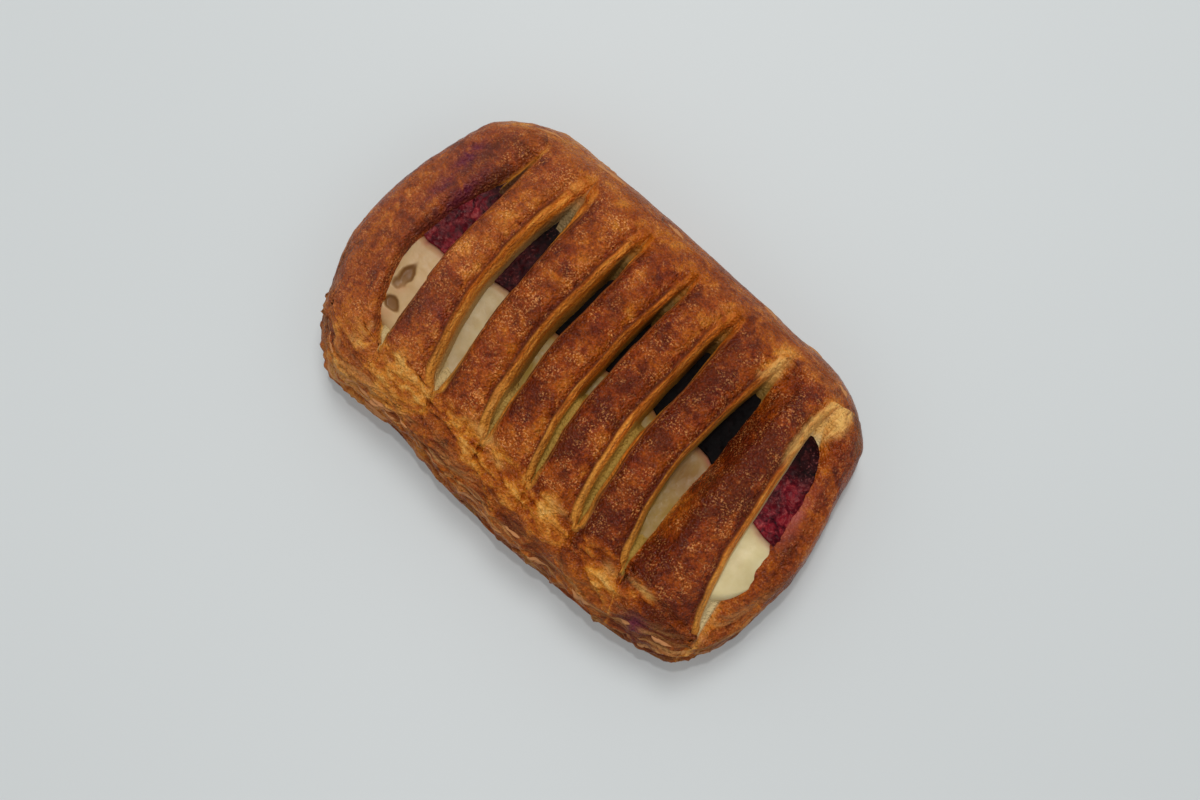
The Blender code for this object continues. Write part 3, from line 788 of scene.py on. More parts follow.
class Nodes:
    """A procedural finish as it is put together. Each method adds a node and returns its output."""

    def __init__(self, name):
        self.material = bpy.data.materials.new(name)
        self.material.use_nodes = True
        self.tree = self.material.node_tree
        self.shader = self.tree.nodes["Principled BSDF"]
        self.place = self.add("ShaderNodeTexCoord").outputs["Object"]

    def add(self, kind, **settings):
        """A new node with these settings."""
        node = self.tree.nodes.new(kind)
        for key, value in settings.items():
            setattr(node, key, value)
        return node

    def wire(self, socket, value):
        """Links an output to a socket, or sets a plain value on it."""
        if isinstance(value, bpy.types.NodeSocket):
            self.tree.links.new(value, socket)
        else:
            socket.default_value = value

    def sets(self, **values):
        """Sets or links the shader's own sockets, named with underscores for spaces."""
        for key, value in values.items():
            self.wire(self.shader.inputs[key.replace("_", " ")], value)

    def number(self, name):
        """The named number of each point."""
        return self.add("ShaderNodeAttribute", attribute_name=name).outputs["Fac"]

    def rest(self, name):
        """1 less the named number."""
        return self.math("SUBTRACT", 1.0, self.number(name))

    def math(self, operation, *values):
        """What a math operation makes of its values, which are numbers or outputs."""
        node = self.add("ShaderNodeMath", operation=operation)
        for socket, value in zip(node.inputs, values):
            self.wire(socket, value)
        return node.outputs[0]

    def times(self, first, second):
        return self.math("MULTIPLY", first, second)

    def split(self, place):
        """The X, Y and Z of a place."""
        node = self.add("ShaderNodeSeparateXYZ")
        self.wire(node.inputs[0], place)
        return node.outputs

    def noise(self, size, detail=2.0, roughness=0.5, distortion=0.0, place=None):
        """Noise with lumps of this size, or of three sizes along X, Y and Z, in millimetres."""
        mapping = self.add("ShaderNodeMapping")
        self.wire(mapping.inputs["Vector"], place or self.place)
        mapping.inputs["Scale"].default_value = [1.0 / (MM * side) for side in np.broadcast_to(size, 3)]
        node = self.add("ShaderNodeTexNoise")
        inputs = (("Vector", mapping.outputs[0]), ("Scale", 1.0), ("Detail", detail))
        for name, value in (*inputs, ("Roughness", roughness), ("Distortion", distortion)):
            self.wire(node.inputs[name], value)
        return node.outputs["Fac"]

    def cells(self, size):
        """Distance from the middle of the nearest cell, for cells of this size in millimetres."""
        node = self.add("ShaderNodeTexVoronoi", feature="SMOOTH_F1")
        self.wire(node.inputs["Vector"], self.place)
        self.wire(node.inputs["Scale"], 1.0 / (MM * size))
        self.wire(node.inputs["Smoothness"], 0.35)
        return node.outputs["Distance"]

    def ramp(self, factor, stops):
        """A colour ramp through stops of place and sRGB colour."""
        node = self.add("ShaderNodeValToRGB")
        set_stops(node.color_ramp.elements, [(place, linear(colour)) for place, colour in stops])
        self.wire(node.inputs[0], factor)
        return node.outputs[0]

    def range(self, value, low, high, to_low=0.0, to_high=1.0):
        """The value's share between low and high, from to_low to to_high, and held beyond them."""
        node = self.add("ShaderNodeMapRange")
        for socket, number in zip(node.inputs, (value, low, high, to_low, to_high)):
            self.wire(socket, number)
        return node.outputs[0]

    def mix(self, factor, first, second, blend="MIX"):
        """Two colours mixed by a factor. A colour may be an output or three sRGB numbers."""
        node = self.add("ShaderNodeMix", data_type="RGBA", blend_type=blend)
        self.wire(node.inputs[0], factor)
        for socket, value in ((node.inputs[6], first), (node.inputs[7], second)):
            self.wire(socket, (*linear(value), 1.0) if isinstance(value, tuple) else value)
        return node.outputs[2]

    def tinted(self, colour, tints):
        """A colour mixed with each tint in turn, by the number that names it."""
        for name, tint in tints:
            colour = self.mix(self.number(name), colour, tint)
        return colour

    def bump(self, height, strength, distance, onto=None):
        """Bends the normal by a height, where 1 stands for this distance in millimetres."""
        node = self.add("ShaderNodeBump")
        self.wire(node.inputs["Strength"], strength)
        self.wire(node.inputs["Distance"], distance * MM)
        self.wire(node.inputs["Height"], height)
        if onto is not None:
            self.wire(node.inputs["Normal"], onto)
        return node.outputs[0]


def linear(colour):
    """Linear red, green and blue of an sRGB colour given from 0 to 255."""
    share = np.array(colour, float) / 255.0
    low, high = share / 12.92, ((share + 0.055) / 1.055) ** 2.4
    return [float(value) for value in np.where(share <= 0.04045, low, high)]


def set_stops(elements, stops):
    """Gives a colour ramp's elements these stops of place and linear colour."""
    while len(elements) < len(stops):
        elements.new(0.5)
    for element, (place, colour) in zip(elements, stops):
        element.position = place
        element.color = (*colour, 1.0)


# Colours of the crust from pale to dark, where it is golden and where it is reddish
GOLDEN_RAMP = (
    (0.0, (220, 164, 80)),
    (0.25, (198, 124, 36)),
    (0.45, (168, 86, 12)),
    (0.60, (142, 63, 6)),
    (0.80, (100, 36, 3)),
    (1.0, (58, 16, 3)),
)
REDDISH_RAMP = (
    (0.0, (206, 142, 84)),
    (0.25, (182, 100, 40)),
    (0.45, (152, 68, 18)),
    (0.60, (127, 46, 9)),
    (0.80, (92, 27, 6)),
    (1.0, (52, 12, 5)),
)


# Colours of the layers on cut walls and on the flaky sides, from shaded to lit
CUT_RAMP = (
    (0.28, (108, 36, 3)),
    (0.40, (178, 82, 13)),
    (0.52, (214, 116, 28)),
    (0.64, (236, 152, 56)),
    (0.82, (248, 194, 106)),
)
FLAKY_RAMP = ((0.30, (112, 58, 24)), (0.50, (150, 92, 42)), (0.68, (186, 134, 78)))


def browned_crust(build, patches, mottles, freckles, along):
    """Crust browned in patches and speckles, golden or reddish, grained, and with glints painted in scattered
    patches.
    """
    brown_and_painted_light = build.math("MULTIPLY_ADD", patches, 0.88, build.number("brown_and_painted_light"))
    speckled = build.range(build.noise(6.5), 0.42, 0.60, 0.15, 0.55)
    brown_and_painted_light = build.math("ADD", brown_and_painted_light, build.times(build.math("ADD", mottles, -0.5), speckled))
    brown_and_painted_light = build.math("MINIMUM", build.math("ADD", brown_and_painted_light, -0.40), 0.84)
    hue = build.range(build.noise(6.0, 3.0, 0.55, 0.5), 0.36, 0.66, 0.1, 0.9)
    hue = build.times(hue, build.rest("golden"))
    crust = build.mix(hue, build.ramp(brown_and_painted_light, GOLDEN_RAMP), build.ramp(brown_and_painted_light, REDDISH_RAMP))
    # How much grain and painted glint the crust gets: less on the rims and lobes
    grain_and_painted_glints = build.rest("less_grain_and_painted_glints")
    grain = build.range(freckles, 0.30, 0.70, 0.70, 1.30)
    crust = build.mix(build.math("MULTIPLY_ADD", grain_and_painted_glints, 0.5, 0.5), crust, grain, "MULTIPLY")
    # Painted glints: small warm-white specks mixed into the colour in scattered patches, fewer on dark crust
    glint_patches = build.range(build.noise(4.0, 2.0, 0.6), 0.44, 0.62, 0.05, 0.9)
    painted_glints = build.times(build.range(build.noise(0.45, 1.0), 0.53, 0.70), glint_patches)
    painted_glints = build.times(painted_glints, build.range(brown_and_painted_light, 0.35, 0.85, 1.0, 0.45))
    crust = build.mix(build.times(painted_glints, grain_and_painted_glints), crust, (238, 162, 92))
    return build.mix(build.range(along, -0.062, -0.010, 0.09, 0.0), crust, (168, 122, 96))


def crust_finish():
    """Glazed crust: browned in patches, with layer lines on cut walls and flaky sides, and wet stains."""
    build = Nodes("crust")
    patches = build.noise(3.6, 4.0, 0.6, 0.8)
    mottles = build.noise(1.3, 2.0, 0.55)
    freckles = build.noise(0.55, 1.0)
    along, across, _ = build.split(build.place)
    colour = browned_crust(build, patches, mottles, freckles, along)

    strata = build.add("ShaderNodeCombineXYZ")
    for socket, value in zip(strata.inputs, (build.times(build.number("layer"), MM), across, along)):
        build.wire(socket, value)
    lines = build.noise((0.75, 9.0, 60.0), 3.0, 0.65, place=strata.outputs[0])
    shade = build.range(build.number("depth"), 3.0, 8.0, 0.0, 0.75)
    cut_face = build.mix(shade, build.ramp(lines, CUT_RAMP), (206, 152, 52))
    cut_face = build.mix(build.range(across, -0.022, -0.006, 0.5, 0.0), cut_face, (192, 142, 60))
    cut_face = build.tinted(cut_face, (("lip", (84, 26, 6)),))
    # The dough under the slits: olive, paler in some slits, and painted dark as shade under the folded ends
    floor = build.tinted((168, 132, 58), (("bed_pale", (208, 184, 134)), ("painted_shade_at_folded_end", (66, 34, 12))))
    flaky_lines = build.noise((0.7, 14.0, 14.0), 3.0, 0.6, place=strata.outputs[0])
    flaky = build.times(build.number("edge"), build.range(flaky_lines, 0.40, 0.62, 0.1, 0.85))
    colour = build.mix(flaky, colour, build.ramp(flaky_lines, FLAKY_RAMP))
    colour = build.tinted(colour, (("cut", cut_face), ("bed", floor)))
    streaks = build.noise((1.2, 4.5, 4.5), 3.0, 0.65, 0.6)
    # Pale dough and painted highlight lines, streaked
    pale_and_painted_highlight = build.times(build.number("pale_and_painted_highlight"), build.range(streaks, 0.36, 0.60, 0.35, 1.0))
    colour = build.mix(pale_and_painted_highlight, colour, (232, 178, 98))
    juice = build.mix(build.range(along, 0.050, 0.054), (84, 22, 46), (178, 92, 80))
    stained = build.mix(build.range(freckles, 0.35, 0.75, 0.0, 0.5), juice, (140, 66, 66))
    stain = build.times(build.number("stain"), build.range(patches, 0.32, 0.56, 0.35, 1.0))

    height = build.math("MULTIPLY_ADD", mottles, 1.0, build.times(build.cells(0.8), -0.7))
    normal = build.bump(build.math("MULTIPLY_ADD", freckles, 1.2, height), 1.0, 0.5)
    normal = build.bump(build.times(lines, build.number("cut")), 0.8, 0.35, onto=normal)
    normal = build.bump(build.times(flaky_lines, build.number("edge")), 0.7, 0.4, onto=normal)
    dry = build.math("MAXIMUM", build.number("cut"), build.times(build.number("edge"), 0.7))
    build.sets(
        Base_Color=build.mix(stain, colour, stained),
        Roughness=build.math("MULTIPLY_ADD", dry, 0.26, build.range(patches, 0.3, 0.7, 0.14, 0.28)),
        Normal=normal,
        Specular_IOR_Level=0.14,
    )
    return build.material


CHEESE_RAMP = ((0.3, (200, 182, 132)), (0.5, (210, 194, 146)), (0.7, (218, 203, 158)))
# Tints of the cheese. The tan one is partly painted shade, where the cheese lies deep in the narrow slits
CHEESE_TINTS = (
    ("warm", (158, 92, 36)),
    ("tan_and_painted_shade", (130, 92, 32)),
    ("olive", (150, 120, 40)),
    ("glassy", (184, 142, 100)),
    ("pit", (118, 80, 40)),
    ("smear", (158, 84, 74)),
)


def cheese_finish():
    """Soft cheese: cream with slow warm patches, brown in its pits and a pink smear by the cherries."""
    build = Nodes("cheese")
    patches = build.noise(5.0, 3.0)
    fine = build.noise(0.7)
    build.sets(
        Base_Color=build.tinted(build.ramp(patches, CHEESE_RAMP), CHEESE_TINTS),
        Roughness=build.range(fine, 0.3, 0.7, 0.30, 0.46),
        Normal=build.bump(build.math("MULTIPLY_ADD", fine, 0.4, patches), 0.5, 0.25),
        Specular_IOR_Level=0.25,
        Subsurface_Weight=0.12,
        Subsurface_Radius=(1.0, 0.7, 0.4),
        Subsurface_Scale=0.003,
    )
    return build.material


# Cherry colours: the near-black pulp is their dark purple painted darker as shade where they lie deep, the
# flesh is crimson
PULP_AND_PAINTED_SHADE_RAMP = ((0.3, (2, 1, 1)), (0.55, (6, 2, 2)), (0.75, (18, 6, 6)))
FLESH_RAMP = ((0.30, (26, 3, 9)), (0.44, (84, 12, 24)), (0.56, (128, 26, 36)), (0.72, (188, 84, 78)))


def cherry_finish():
    """Crushed cherries: near-black purple, partly painted shade, with crimson flesh, gloss and painted glints
    in open slits.
    """
    build = Nodes("cherry")
    pulp = build.noise(2.2, 5.0, 0.65, 0.8)
    fine = build.noise(0.6, 3.0)
    colour = build.tinted(build.ramp(pulp, PULP_AND_PAINTED_SHADE_RAMP), (("crimson_outside_painted_shade", build.ramp(pulp, FLESH_RAMP)),))
    # Painted glints: pinkish specks mixed into the colour where the glint patches lie
    bits = build.times(build.range(fine, 0.56, 0.70, 0.0, 0.6), build.number("glint_patches"))
    build.sets(
        Base_Color=build.mix(bits, colour, (150, 84, 80)),
        Roughness=build.range(build.number("crimson_outside_painted_shade"), 0.0, 0.4, 0.6, 0.22),
        Normal=build.bump(build.math("MULTIPLY_ADD", fine, 0.35, pulp), 0.7, 0.35),
        Specular_IOR_Level=0.06,
    )
    return build.material


# Where the meeting line stands out towards +Y: along X, spread and height
MEETING_BUMPS = ((-30.0, 5.0, 2.2), (-13.0, 4.0, 0.8), (32.0, 5.0, 1.4))


def meeting_line(x):
    """Y where the cheese meets the cherries: a slow hump towards +Y in the middle, with small waves."""
    hump = MEETING_BASE + MEETING_RISE * np.exp(-(((x - MEETING_X) / MEETING_SPREAD) ** 2))
    return hump + bumps(x, MEETING_BUMPS) + 0.9 * rough_noise(stacked(x, 0.0, 0.0), 5.0, 2, 81)


def narrow_slits(x):
    """1 in the middle slits, where the filling lies deep under the strips, and 0 at the two wide ones."""
    return window(x, -42.0, 16.0, 35.0, 12.0)


RIBBON_STATIONS = 330
RIBBON_COLUMNS = 84
# Bubble pits: x, y, spreads and depth
CHEESE_PITS = ((-48.0, -11.8, 1.9, 3.9, 1.0), (-46.3, -18.7, 2.6, 1.8, 1.0))
# Glassy cheese below each pit
GLASSY_SPOTS = ((-47.1, -14.8, 1.5, 1.8, 1.0), (-45.4, -21.6, 1.9, 1.5, 0.9), (-49.5, -7.0, 1.5, 2.0, 0.3))


def cheese_surface(points, line):
    """The cheese's soft swell in millimetres, and how tinted each point is.

    Two bubble pits are let into it, and it tucks down by the cherries. It is warm in the first slit, tan and
    olive deep in the middle ones, with the tan partly painted shade, glassy below the pits, and smeared
    beside the meeting line.
    """
    x, y = points[..., 0], points[..., 1]
    swell = 0.5 * rough_noise(points, (7.0, 9.0, 9.0), 2, 83) + 0.10 * rough_noise(points, 2.0, 2, 85)
    pit = np.zeros(x.shape)
    for pit_x, pit_y, spread_x, spread_y, deep in CHEESE_PITS:
        slim = 1.0 - 0.4 * np.clip((y - pit_y) / spread_y, -1.0, 1.0)
        ring = np.hypot((x - pit_x) / (spread_x * slim), (y - pit_y) / spread_y)
        ring = ring + 0.26 * rough_noise(points, 2.2, 2, 87)
        swell = swell - deep * (1.0 - smooth((ring - 0.55) / 0.5))
        pit = np.maximum(pit, 1.0 - smooth((ring - 0.75) / 0.35))
    near = np.abs(line - y)
    swell = swell - 0.9 * np.exp(-((near / 1.2) ** 2))
    narrow = narrow_slits(x)
    # Tan, partly painted shade: darker where the cheese lies deep under the strips in the narrow slits
    tan_and_painted_shade = 0.08 + (0.46 + 0.46 * smooth((x + 20.0) / 14.0)) * narrow
    tan_and_painted_shade = tan_and_painted_shade - 0.12 * smooth((x - 24.0) / 4.0) * narrow * smooth((y + 4.0) / 6.0)
    shallow = window(x, 22.0, 4.0, 42.0, 4.0) * smooth((-y - 2.0) / 9.0)
    glassy = np.clip(spots(x, y, GLASSY_SPOTS), 0.0, 1.0)
    return swell, {
        "warm": 0.48 * (1.0 - smooth((x + 40.0) / 4.0)),
        "olive": 0.8 * window(x, -20.0, 4.0, 22.0, 5.0) + 0.65 * shallow,
        "tan_and_painted_shade": np.clip(tan_and_painted_shade + 0.15 * rough_noise(points, 5.0, 2, 88), 0.0, 1.0),
        "pit": pit * (1.0 - 0.5 * glassy),
        "glassy": glassy,
        "smear": np.exp(-((near / 1.5) ** 2)) * (0.5 + 0.5 * smooth(rough_noise(points, 2.0, 2, 89))),
    }


def cherry_surface(points):
    """Cherry lumps in millimetres, how crimson they are and where glints are painted, both most in the end
    slits.
    """
    x, y = points[..., 0], points[..., 1]
    swell = 0.55 * rough_noise(points, 3.2, 3, 91, keep=0.6) + 0.2 * pillow_noise(points, 2.2, 93) - 0.2
    open_ends = np.exp(-(((x + 48.0) / 6.0) ** 2)) + np.exp(-(((x - 53.0) / 7.0) ** 2))
    crimson_outside_painted_shade = 0.16 + 0.9 * open_ends * (0.65 + 0.5 * rough_noise(points, 4.0, 2, 95))
    # Painted shade: less crimson, so darker, towards the folded +Y ends
    crimson_outside_painted_shade = crimson_outside_painted_shade * (1.0 - 0.88 * smooth((y - 10.5) / 8.0))
    # Painted shade: the middle slits, where the cherries lie deep, are left near-black
    lit = 1.0 - window(x, -24.0, 8.0, 38.0, 5.0)
    return swell, {
        "crimson_outside_painted_shade": np.clip(crimson_outside_painted_shade * lit, 0.0, 1.0),
        "glint_patches": np.clip((0.5 + 0.9 * rough_noise(points, 4.0, 2, 97)) * lit, 0.0, 0.7),
    }


def filling_grid(is_cheese, shift):
    """A filling ribbon: cross-sections along X, each over the top from its outer flank to the meeting line.

    The top is the bed's crown, which falls towards the flank and rounds over its corner. Two points close
    the ring along the bed's floor.
    """
    middle, half = (BED_LOW_X + BED_HIGH_X) / 2, (BED_HIGH_X - BED_LOW_X) / 2
    turn = np.linspace(-math.pi / 2, math.pi / 2, RIBBON_STATIONS + 1)[:, None]
    share = (0.75 * turn / (math.pi / 2) + 0.25 * np.sin(turn)) * BED_TIP
    x = middle + half * share
    reach = superellipse(share, BED_END_POWER)
    line = meeting_line(x)
    far = line + ((BED_LOW_Y if is_cheese else BED_HIGH_Y) - line) * reach
    column = np.linspace(0.0, 1.0, RIBBON_COLUMNS)[None, :]
    y = far + (line - far) * column
    crown = BED_FLOOR + (BED_TOP - BED_FLOOR) * reach**BED_TOP_POWER
    corner = np.maximum(BED_CORNER * reach, 1e-3)
    inset = np.clip(1.0 - np.abs(y - far) / corner, 0.0, 1.0)
    z = crown - BED_FALL * reach * (1.0 - column) - corner * (1.0 - np.sqrt(1.0 - inset**2))
    points = stacked(x, y, z)
    swell, values = cheese_surface(points, line) if is_cheese else cherry_surface(points)
    fade = smooth(reach * 1.5) * smooth(np.abs(y - far) / 2.0)
    z = z + (swell - 0.5 * narrow_slits(x)) * fade
    floor = np.full(x.shape, BED_FLOOR)
    y = np.concatenate([far, y, line], axis=1)
    z = np.concatenate([floor, np.maximum(z, BED_FLOOR), floor], axis=1)
    points = stacked(x, y, z) - np.array([shift[0], shift[1], 0.0])
    values = {key: np.concatenate([at[:, :1], at, at[:, -1:]], axis=1) for key, at in values.items()}
    if not is_cheese:
        points = points[:, ::-1]
        values = {key: at[:, ::-1] for key, at in values.items()}
    return points, values


# Thin lifted flakes: how many, where across and along the dough, sizes, lift, and how pale they are
FLAKE_BANDS = (
    {"count": 26, "across": (-0.995, -0.90), "x": (-54.0, 58.0), "long": (3.0, 9.0), "deep": (0.8, 1.8)},
    {"count": 10, "across": (0.90, 0.99), "x": (-52.0, 54.0), "long": (4.0, 9.0), "deep": (0.8, 1.8)},
)
FLAKE_ALONG = 15
FLAKE_ACROSS = 6


def sampled(grid, row, column):
    """A grid's values between its points, at fractional rows and columns that wrap round."""
    rows, columns = grid.shape[:2]
    row = np.clip(row, 1.0, rows - 2.001)
    low_row, low_column = np.floor(row).astype(int), np.floor(column).astype(int)
    part_row, part_column = row - low_row, column - low_column
    if grid.ndim == 3:
        part_row, part_column = part_row[..., None], part_column[..., None]
    total = 0.0
    for step_row, step_column in np.ndindex(2, 2):
        weight = np.where(step_row, part_row, 1.0 - part_row)
        weight = weight * np.where(step_column, part_column, 1.0 - part_column)
        total = total + weight * grid[low_row + step_row, (low_column + step_column) % columns]
    return total


def flake_places(grid, generator):
    """The row and the column where each flake is rooted, how long and how deep it is, and its side."""
    across = grid["across"].reshape(-1)
    places = []
    for band in FLAKE_BANDS:
        low, high = band["across"]
        inside = (grid["across"] > low) & (grid["across"] < high) & (grid["up"] > 0.02)
        inside &= (grid["x"] > band["x"][0]) & (grid["x"] < band["x"][1]) & (grid["depth"] < 1.2)
        picked = generator.choice(np.flatnonzero(inside.reshape(-1)), band["count"], replace=False)
        long, deep = (generator.uniform(*band[key], band["count"]) for key in ("long", "deep"))
        row, column = np.divmod(picked, grid["across"].shape[1])
        places.append([row, column, long, deep, np.where(across[picked] < 0, -1.0, 1.0)])
    return np.concatenate(places, axis=1)[:, :, None, None]


def flake_faces():
    """Faces of one flake: its upper grid, its lower grid the other way round, and the rim between them."""
    step = np.arange(FLAKE_ALONG * FLAKE_ACROSS).reshape(FLAKE_ALONG, FLAKE_ACROSS)
    upper = np.stack([step[:-1, :-1], step[1:, :-1], step[1:, 1:], step[:-1, 1:]], axis=-1).reshape(-1, 4)
    border = np.concatenate([step[:-1, 0], step[-1, :-1], step[:0:-1, -1], step[0, :0:-1]])
    after = np.roll(border, -1)
    rim = np.stack([after, border, border + step.size, after + step.size], axis=1)
    return np.concatenate([upper, upper[:, ::-1] + step.size, rim])


def flake_layers(points, normals, grid, crust_values, settings):
    """Every lifted flake as a thin curved leaf on the crust, joined in one mesh.

    A leaf runs along the dough's sections and hangs down the flank from its rooted edge. Its height over the
    crust is the lift times the share to its free edge, plus a curl; the free edge is ragged, and it thins
    out to both ends. Its upper and lower faces are the same grid a thickness apart.
    """
    generator = np.random.default_rng(12)
    row, column, long, deep, side = flake_places(grid, generator)
    count = len(row)
    ahead = sampled(points, row + 1, column) - sampled(points, row - 1, column)
    aside = sampled(points, row, column + 1) - sampled(points, row, column - 1)
    row_mm, column_mm = (np.maximum(np.linalg.norm(way, axis=-1) / 2, 0.12) for way in (ahead, aside))

    s = np.linspace(-1.0, 1.0, FLAKE_ALONG)[None, :, None]
    t = np.linspace(0.0, 1.0, FLAKE_ACROSS)[None, None, :]
    number = np.arange(count, dtype=float)[:, None, None]
    ragged = 0.35 * rough_noise(stacked(number * 9.1, s * 3.0, 0.0), 1.0, 2, 101)
    leaf = np.sqrt(np.clip(1.0 - np.abs(s) ** 2.6, 0.0, 1.0)) * (1.0 + ragged)
    skew = generator.uniform(-0.5, 0.5, count)[:, None, None]
    reach = (t * leaf + skew * s * 0.6) * deep
    at_row = row + s * (long / row_mm) / 2
    at_column = column + side * reach / column_mm
    base = sampled(points, at_row, at_column)
    outward = sampled(normals, at_row, at_column)
    lift = generator.uniform(0.25, 1.0, count)[:, None, None] * settings.flake_lift
    curl = 0.5 + 0.5 * lump_noise(stacked(number * 5.7, s * 1.7, 0.0), 1.0, 103)
    rise = (lift * t**1.4 * (0.6 + 0.7 * curl) * leaf - 0.22 * (1.0 - t) - 0.3 * (1.0 - leaf))[..., None]
    half = settings.flake_thickness / 2
    both = [(base + outward * (rise + away)).reshape(count, -1, 3) for away in (half, -half)]

    one = flake_faces()
    first = 2 * FLAKE_ALONG * FLAKE_ACROSS * np.arange(count)[:, None, None]
    faces = np.where(side < 0, one[:, ::-1] + first, one + first).reshape(-1, 4)
    shade = sampled(crust_values["brown_and_painted_light"], at_row, at_column)
    shade = shade - generator.uniform(-0.05, 0.14, count)[:, None, None] + 0.08 + 0.16 * (t - 0.3)
    values = {"brown_and_painted_light": shade, "edge": np.full(shade.shape, 0.15), "layer": base[..., 2] + number * 1.7}
    values.update({key: np.zeros(shade.shape) for key in crust_values if key not in values})
    values = {key: np.stack([at.reshape(count, -1)] * 2, axis=1).reshape(-1) for key, at in values.items()}
    return np.stack(both, axis=1).reshape(-1, 3), faces, values


class DanishCrustSettings(bpy.types.PropertyGroup):
    """Relief of the crust, in millimetres."""

    blister_height: bpy.props.FloatProperty(
        name="Blisters", description="Height of the blisters, in millimetres", default=0.22, min=0.0, max=1.0
    )
    dome_height: bpy.props.FloatProperty(
        name="Domes", description="Height of the small domes, in millimetres", default=0.10, min=0.0, max=0.6
    )
    layer_pitch: bpy.props.FloatProperty(
        name="Layer pitch", description="Height of one layer, in millimetres", default=1.7, min=0.5, max=4.0
    )
    strip_step: bpy.props.FloatProperty(
        name="Strip step", description="Step at a strip's end, in millimetres", default=0.8, min=0.0, max=2.0
    )
    flake_lift: bpy.props.FloatProperty(
        name="Flake lift", description="Most a flake lifts, in millimetres", default=0.45, min=0.0, max=3.0
    )
    flake_thickness: bpy.props.FloatProperty(
        name="Flake thickness", description="Of every flake, in millimetres", default=0.14, min=0.05, max=0.6
    )


class DanishStageSettings(bpy.types.PropertyGroup):
    """The floor's colour and the strength of the lights."""

    floor_colour: bpy.props.FloatVectorProperty(
        name="Floor colour",
        description="Colour of the plain floor",
        subtype="COLOR",
        default=linear((206, 210, 210)),
        min=0.0,
        max=1.0,
    )
    soft_power: bpy.props.FloatProperty(
        name="Soft light", description="Power of the broad soft light", unit="POWER", default=8.0, min=0.0
    )
    lamp_power: bpy.props.FloatProperty(
        name="Lamps", description="Power of each small lamp", unit="POWER", default=3.4, min=0.0
    )


CACHE = {}


def dressed_crust(settings):
    """The crust's grid with its relief, worked out once and shared by the crust and its flakes."""
    if not CACHE:
        grid = dough_grid()
        regions = crust_regions(grid)
        relief, step, values = crust_relief(grid, regions, settings)
        normals = grid_normals(grid["points"])
        points = grid["points"] + normals * relief[..., None]
        points[..., 2] -= step
        points[..., 2] = np.maximum(points[..., 2], 0.0)
        CACHE.update(grid=grid, points=points, normals=grid_normals(points), values=values)
    return CACHE


def finish_piece(item, material, slot, *replaced):
    """Gives a piece its finish, lets it ride with the pastry's body and stand for its nodes."""
    item.data.materials.append(material)
    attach(item, "root")
    if replaced:
        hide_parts(*replaced)


def add_filling(context, is_cheese, name, finish, slot, node):
    """Makes one of the two filling ribbons in the crust's frame."""
    shift = dressed_crust(context.scene.danish_crust)["grid"]["shift"]
    finish_piece(tube_object(name, *filling_grid(is_cheese, shift)), finish(), slot, node)


class DANISH_OT_crust(bpy.types.Operator):
    """Make the whole crust: one closed skin over strips, slits, lobes, flanks and base"""

    bl_idname = "danish.crust"
    bl_label = "Crust"

    def execute(self, context):
        made = dressed_crust(context.scene.danish_crust)
        item = tube_object("pastry_crust", made["points"], made["values"])
        finish_piece(item, crust_finish(), "crust", "pastry")
        return {"FINISHED"}


class DANISH_OT_flakes(bpy.types.Operator):
    """Make the thin flakes that lift from the flaky edges"""

    bl_idname = "danish.flakes"
    bl_label = "Lifted flakes"

    def execute(self, context):
        settings = context.scene.danish_crust
        made = dressed_crust(settings)
        points, faces, values = flake_layers(
            made["points"], made["normals"], made["grid"], made["values"], settings
        )
        item = fill_mesh("crust_flakes", points, faces, np.zeros((0, 3), int), values)
        finish_piece(item, bpy.data.materials["crust"], "crust")
        return {"FINISHED"}


class DANISH_OT_cheese(bpy.types.Operator):
    """Make the soft cheese that shows in the slits on the sealed half"""

    bl_idname = "danish.cheese"
    bl_label = "Cheese"

    def execute(self, context):
        add_filling(context, True, "soft_cheese", cheese_finish, "cheese", "cheese_filling")
        return {"FINISHED"}


class DANISH_OT_cherry(bpy.types.Operator):
    """Make the cherry filling that shows in the slits on the folded half"""

    bl_idname = "danish.cherry"
    bl_label = "Cherries"

    def execute(self, context):
        add_filling(context, False, "crushed_cherries", cherry_finish, "cherry", "cherry_filling")
        return {"FINISHED"}


# Camera over the table: what it looks at and how far off it is, in millimetres, and its turn and height
CAMERA_AIM = (4.64, -1.32, 9.0)
CAMERA_DISTANCE = 397.0
CAMERA_TURN = math.radians(43.0)
CAMERA_HEIGHT = math.radians(80.0)
FRAME_WIDTH = 286.8
SENSOR_WIDTH = 36.0


def make_camera():
    """A camera at the photograph's angle: nearly overhead, turned so that the pastry lies slantwise."""
    flat = math.cos(CAMERA_HEIGHT)
    back = Vector((math.sin(CAMERA_TURN) * flat, -math.cos(CAMERA_TURN) * flat, math.sin(CAMERA_HEIGHT)))
    right = Vector((math.cos(CAMERA_TURN), math.sin(CAMERA_TURN), 0.0))
    turned = Matrix((right, back.cross(right), back)).transposed()
    data = bpy.data.cameras.new("camera")
    data.sensor_width = SENSOR_WIDTH
    data.lens = SENSOR_WIDTH * CAMERA_DISTANCE / FRAME_WIDTH
    data.clip_start = 0.01
    camera = bpy.data.objects.new("camera", data)
    place = (Vector(CAMERA_AIM) + back * CAMERA_DISTANCE) * MM
    camera.matrix_world = Matrix.Translation(place) @ turned.to_4x4()
    bpy.context.scene.collection.objects.link(camera)
    bpy.context.scene.camera = camera


# Lights, in metres: place and width
SOFT_LIGHT = ((-0.35, 0.55, 1.35), 0.6)
LAMPS = (((-0.18, 0.19, 1.5), 0.07), ((0.02, -0.29, 1.5), 0.07))


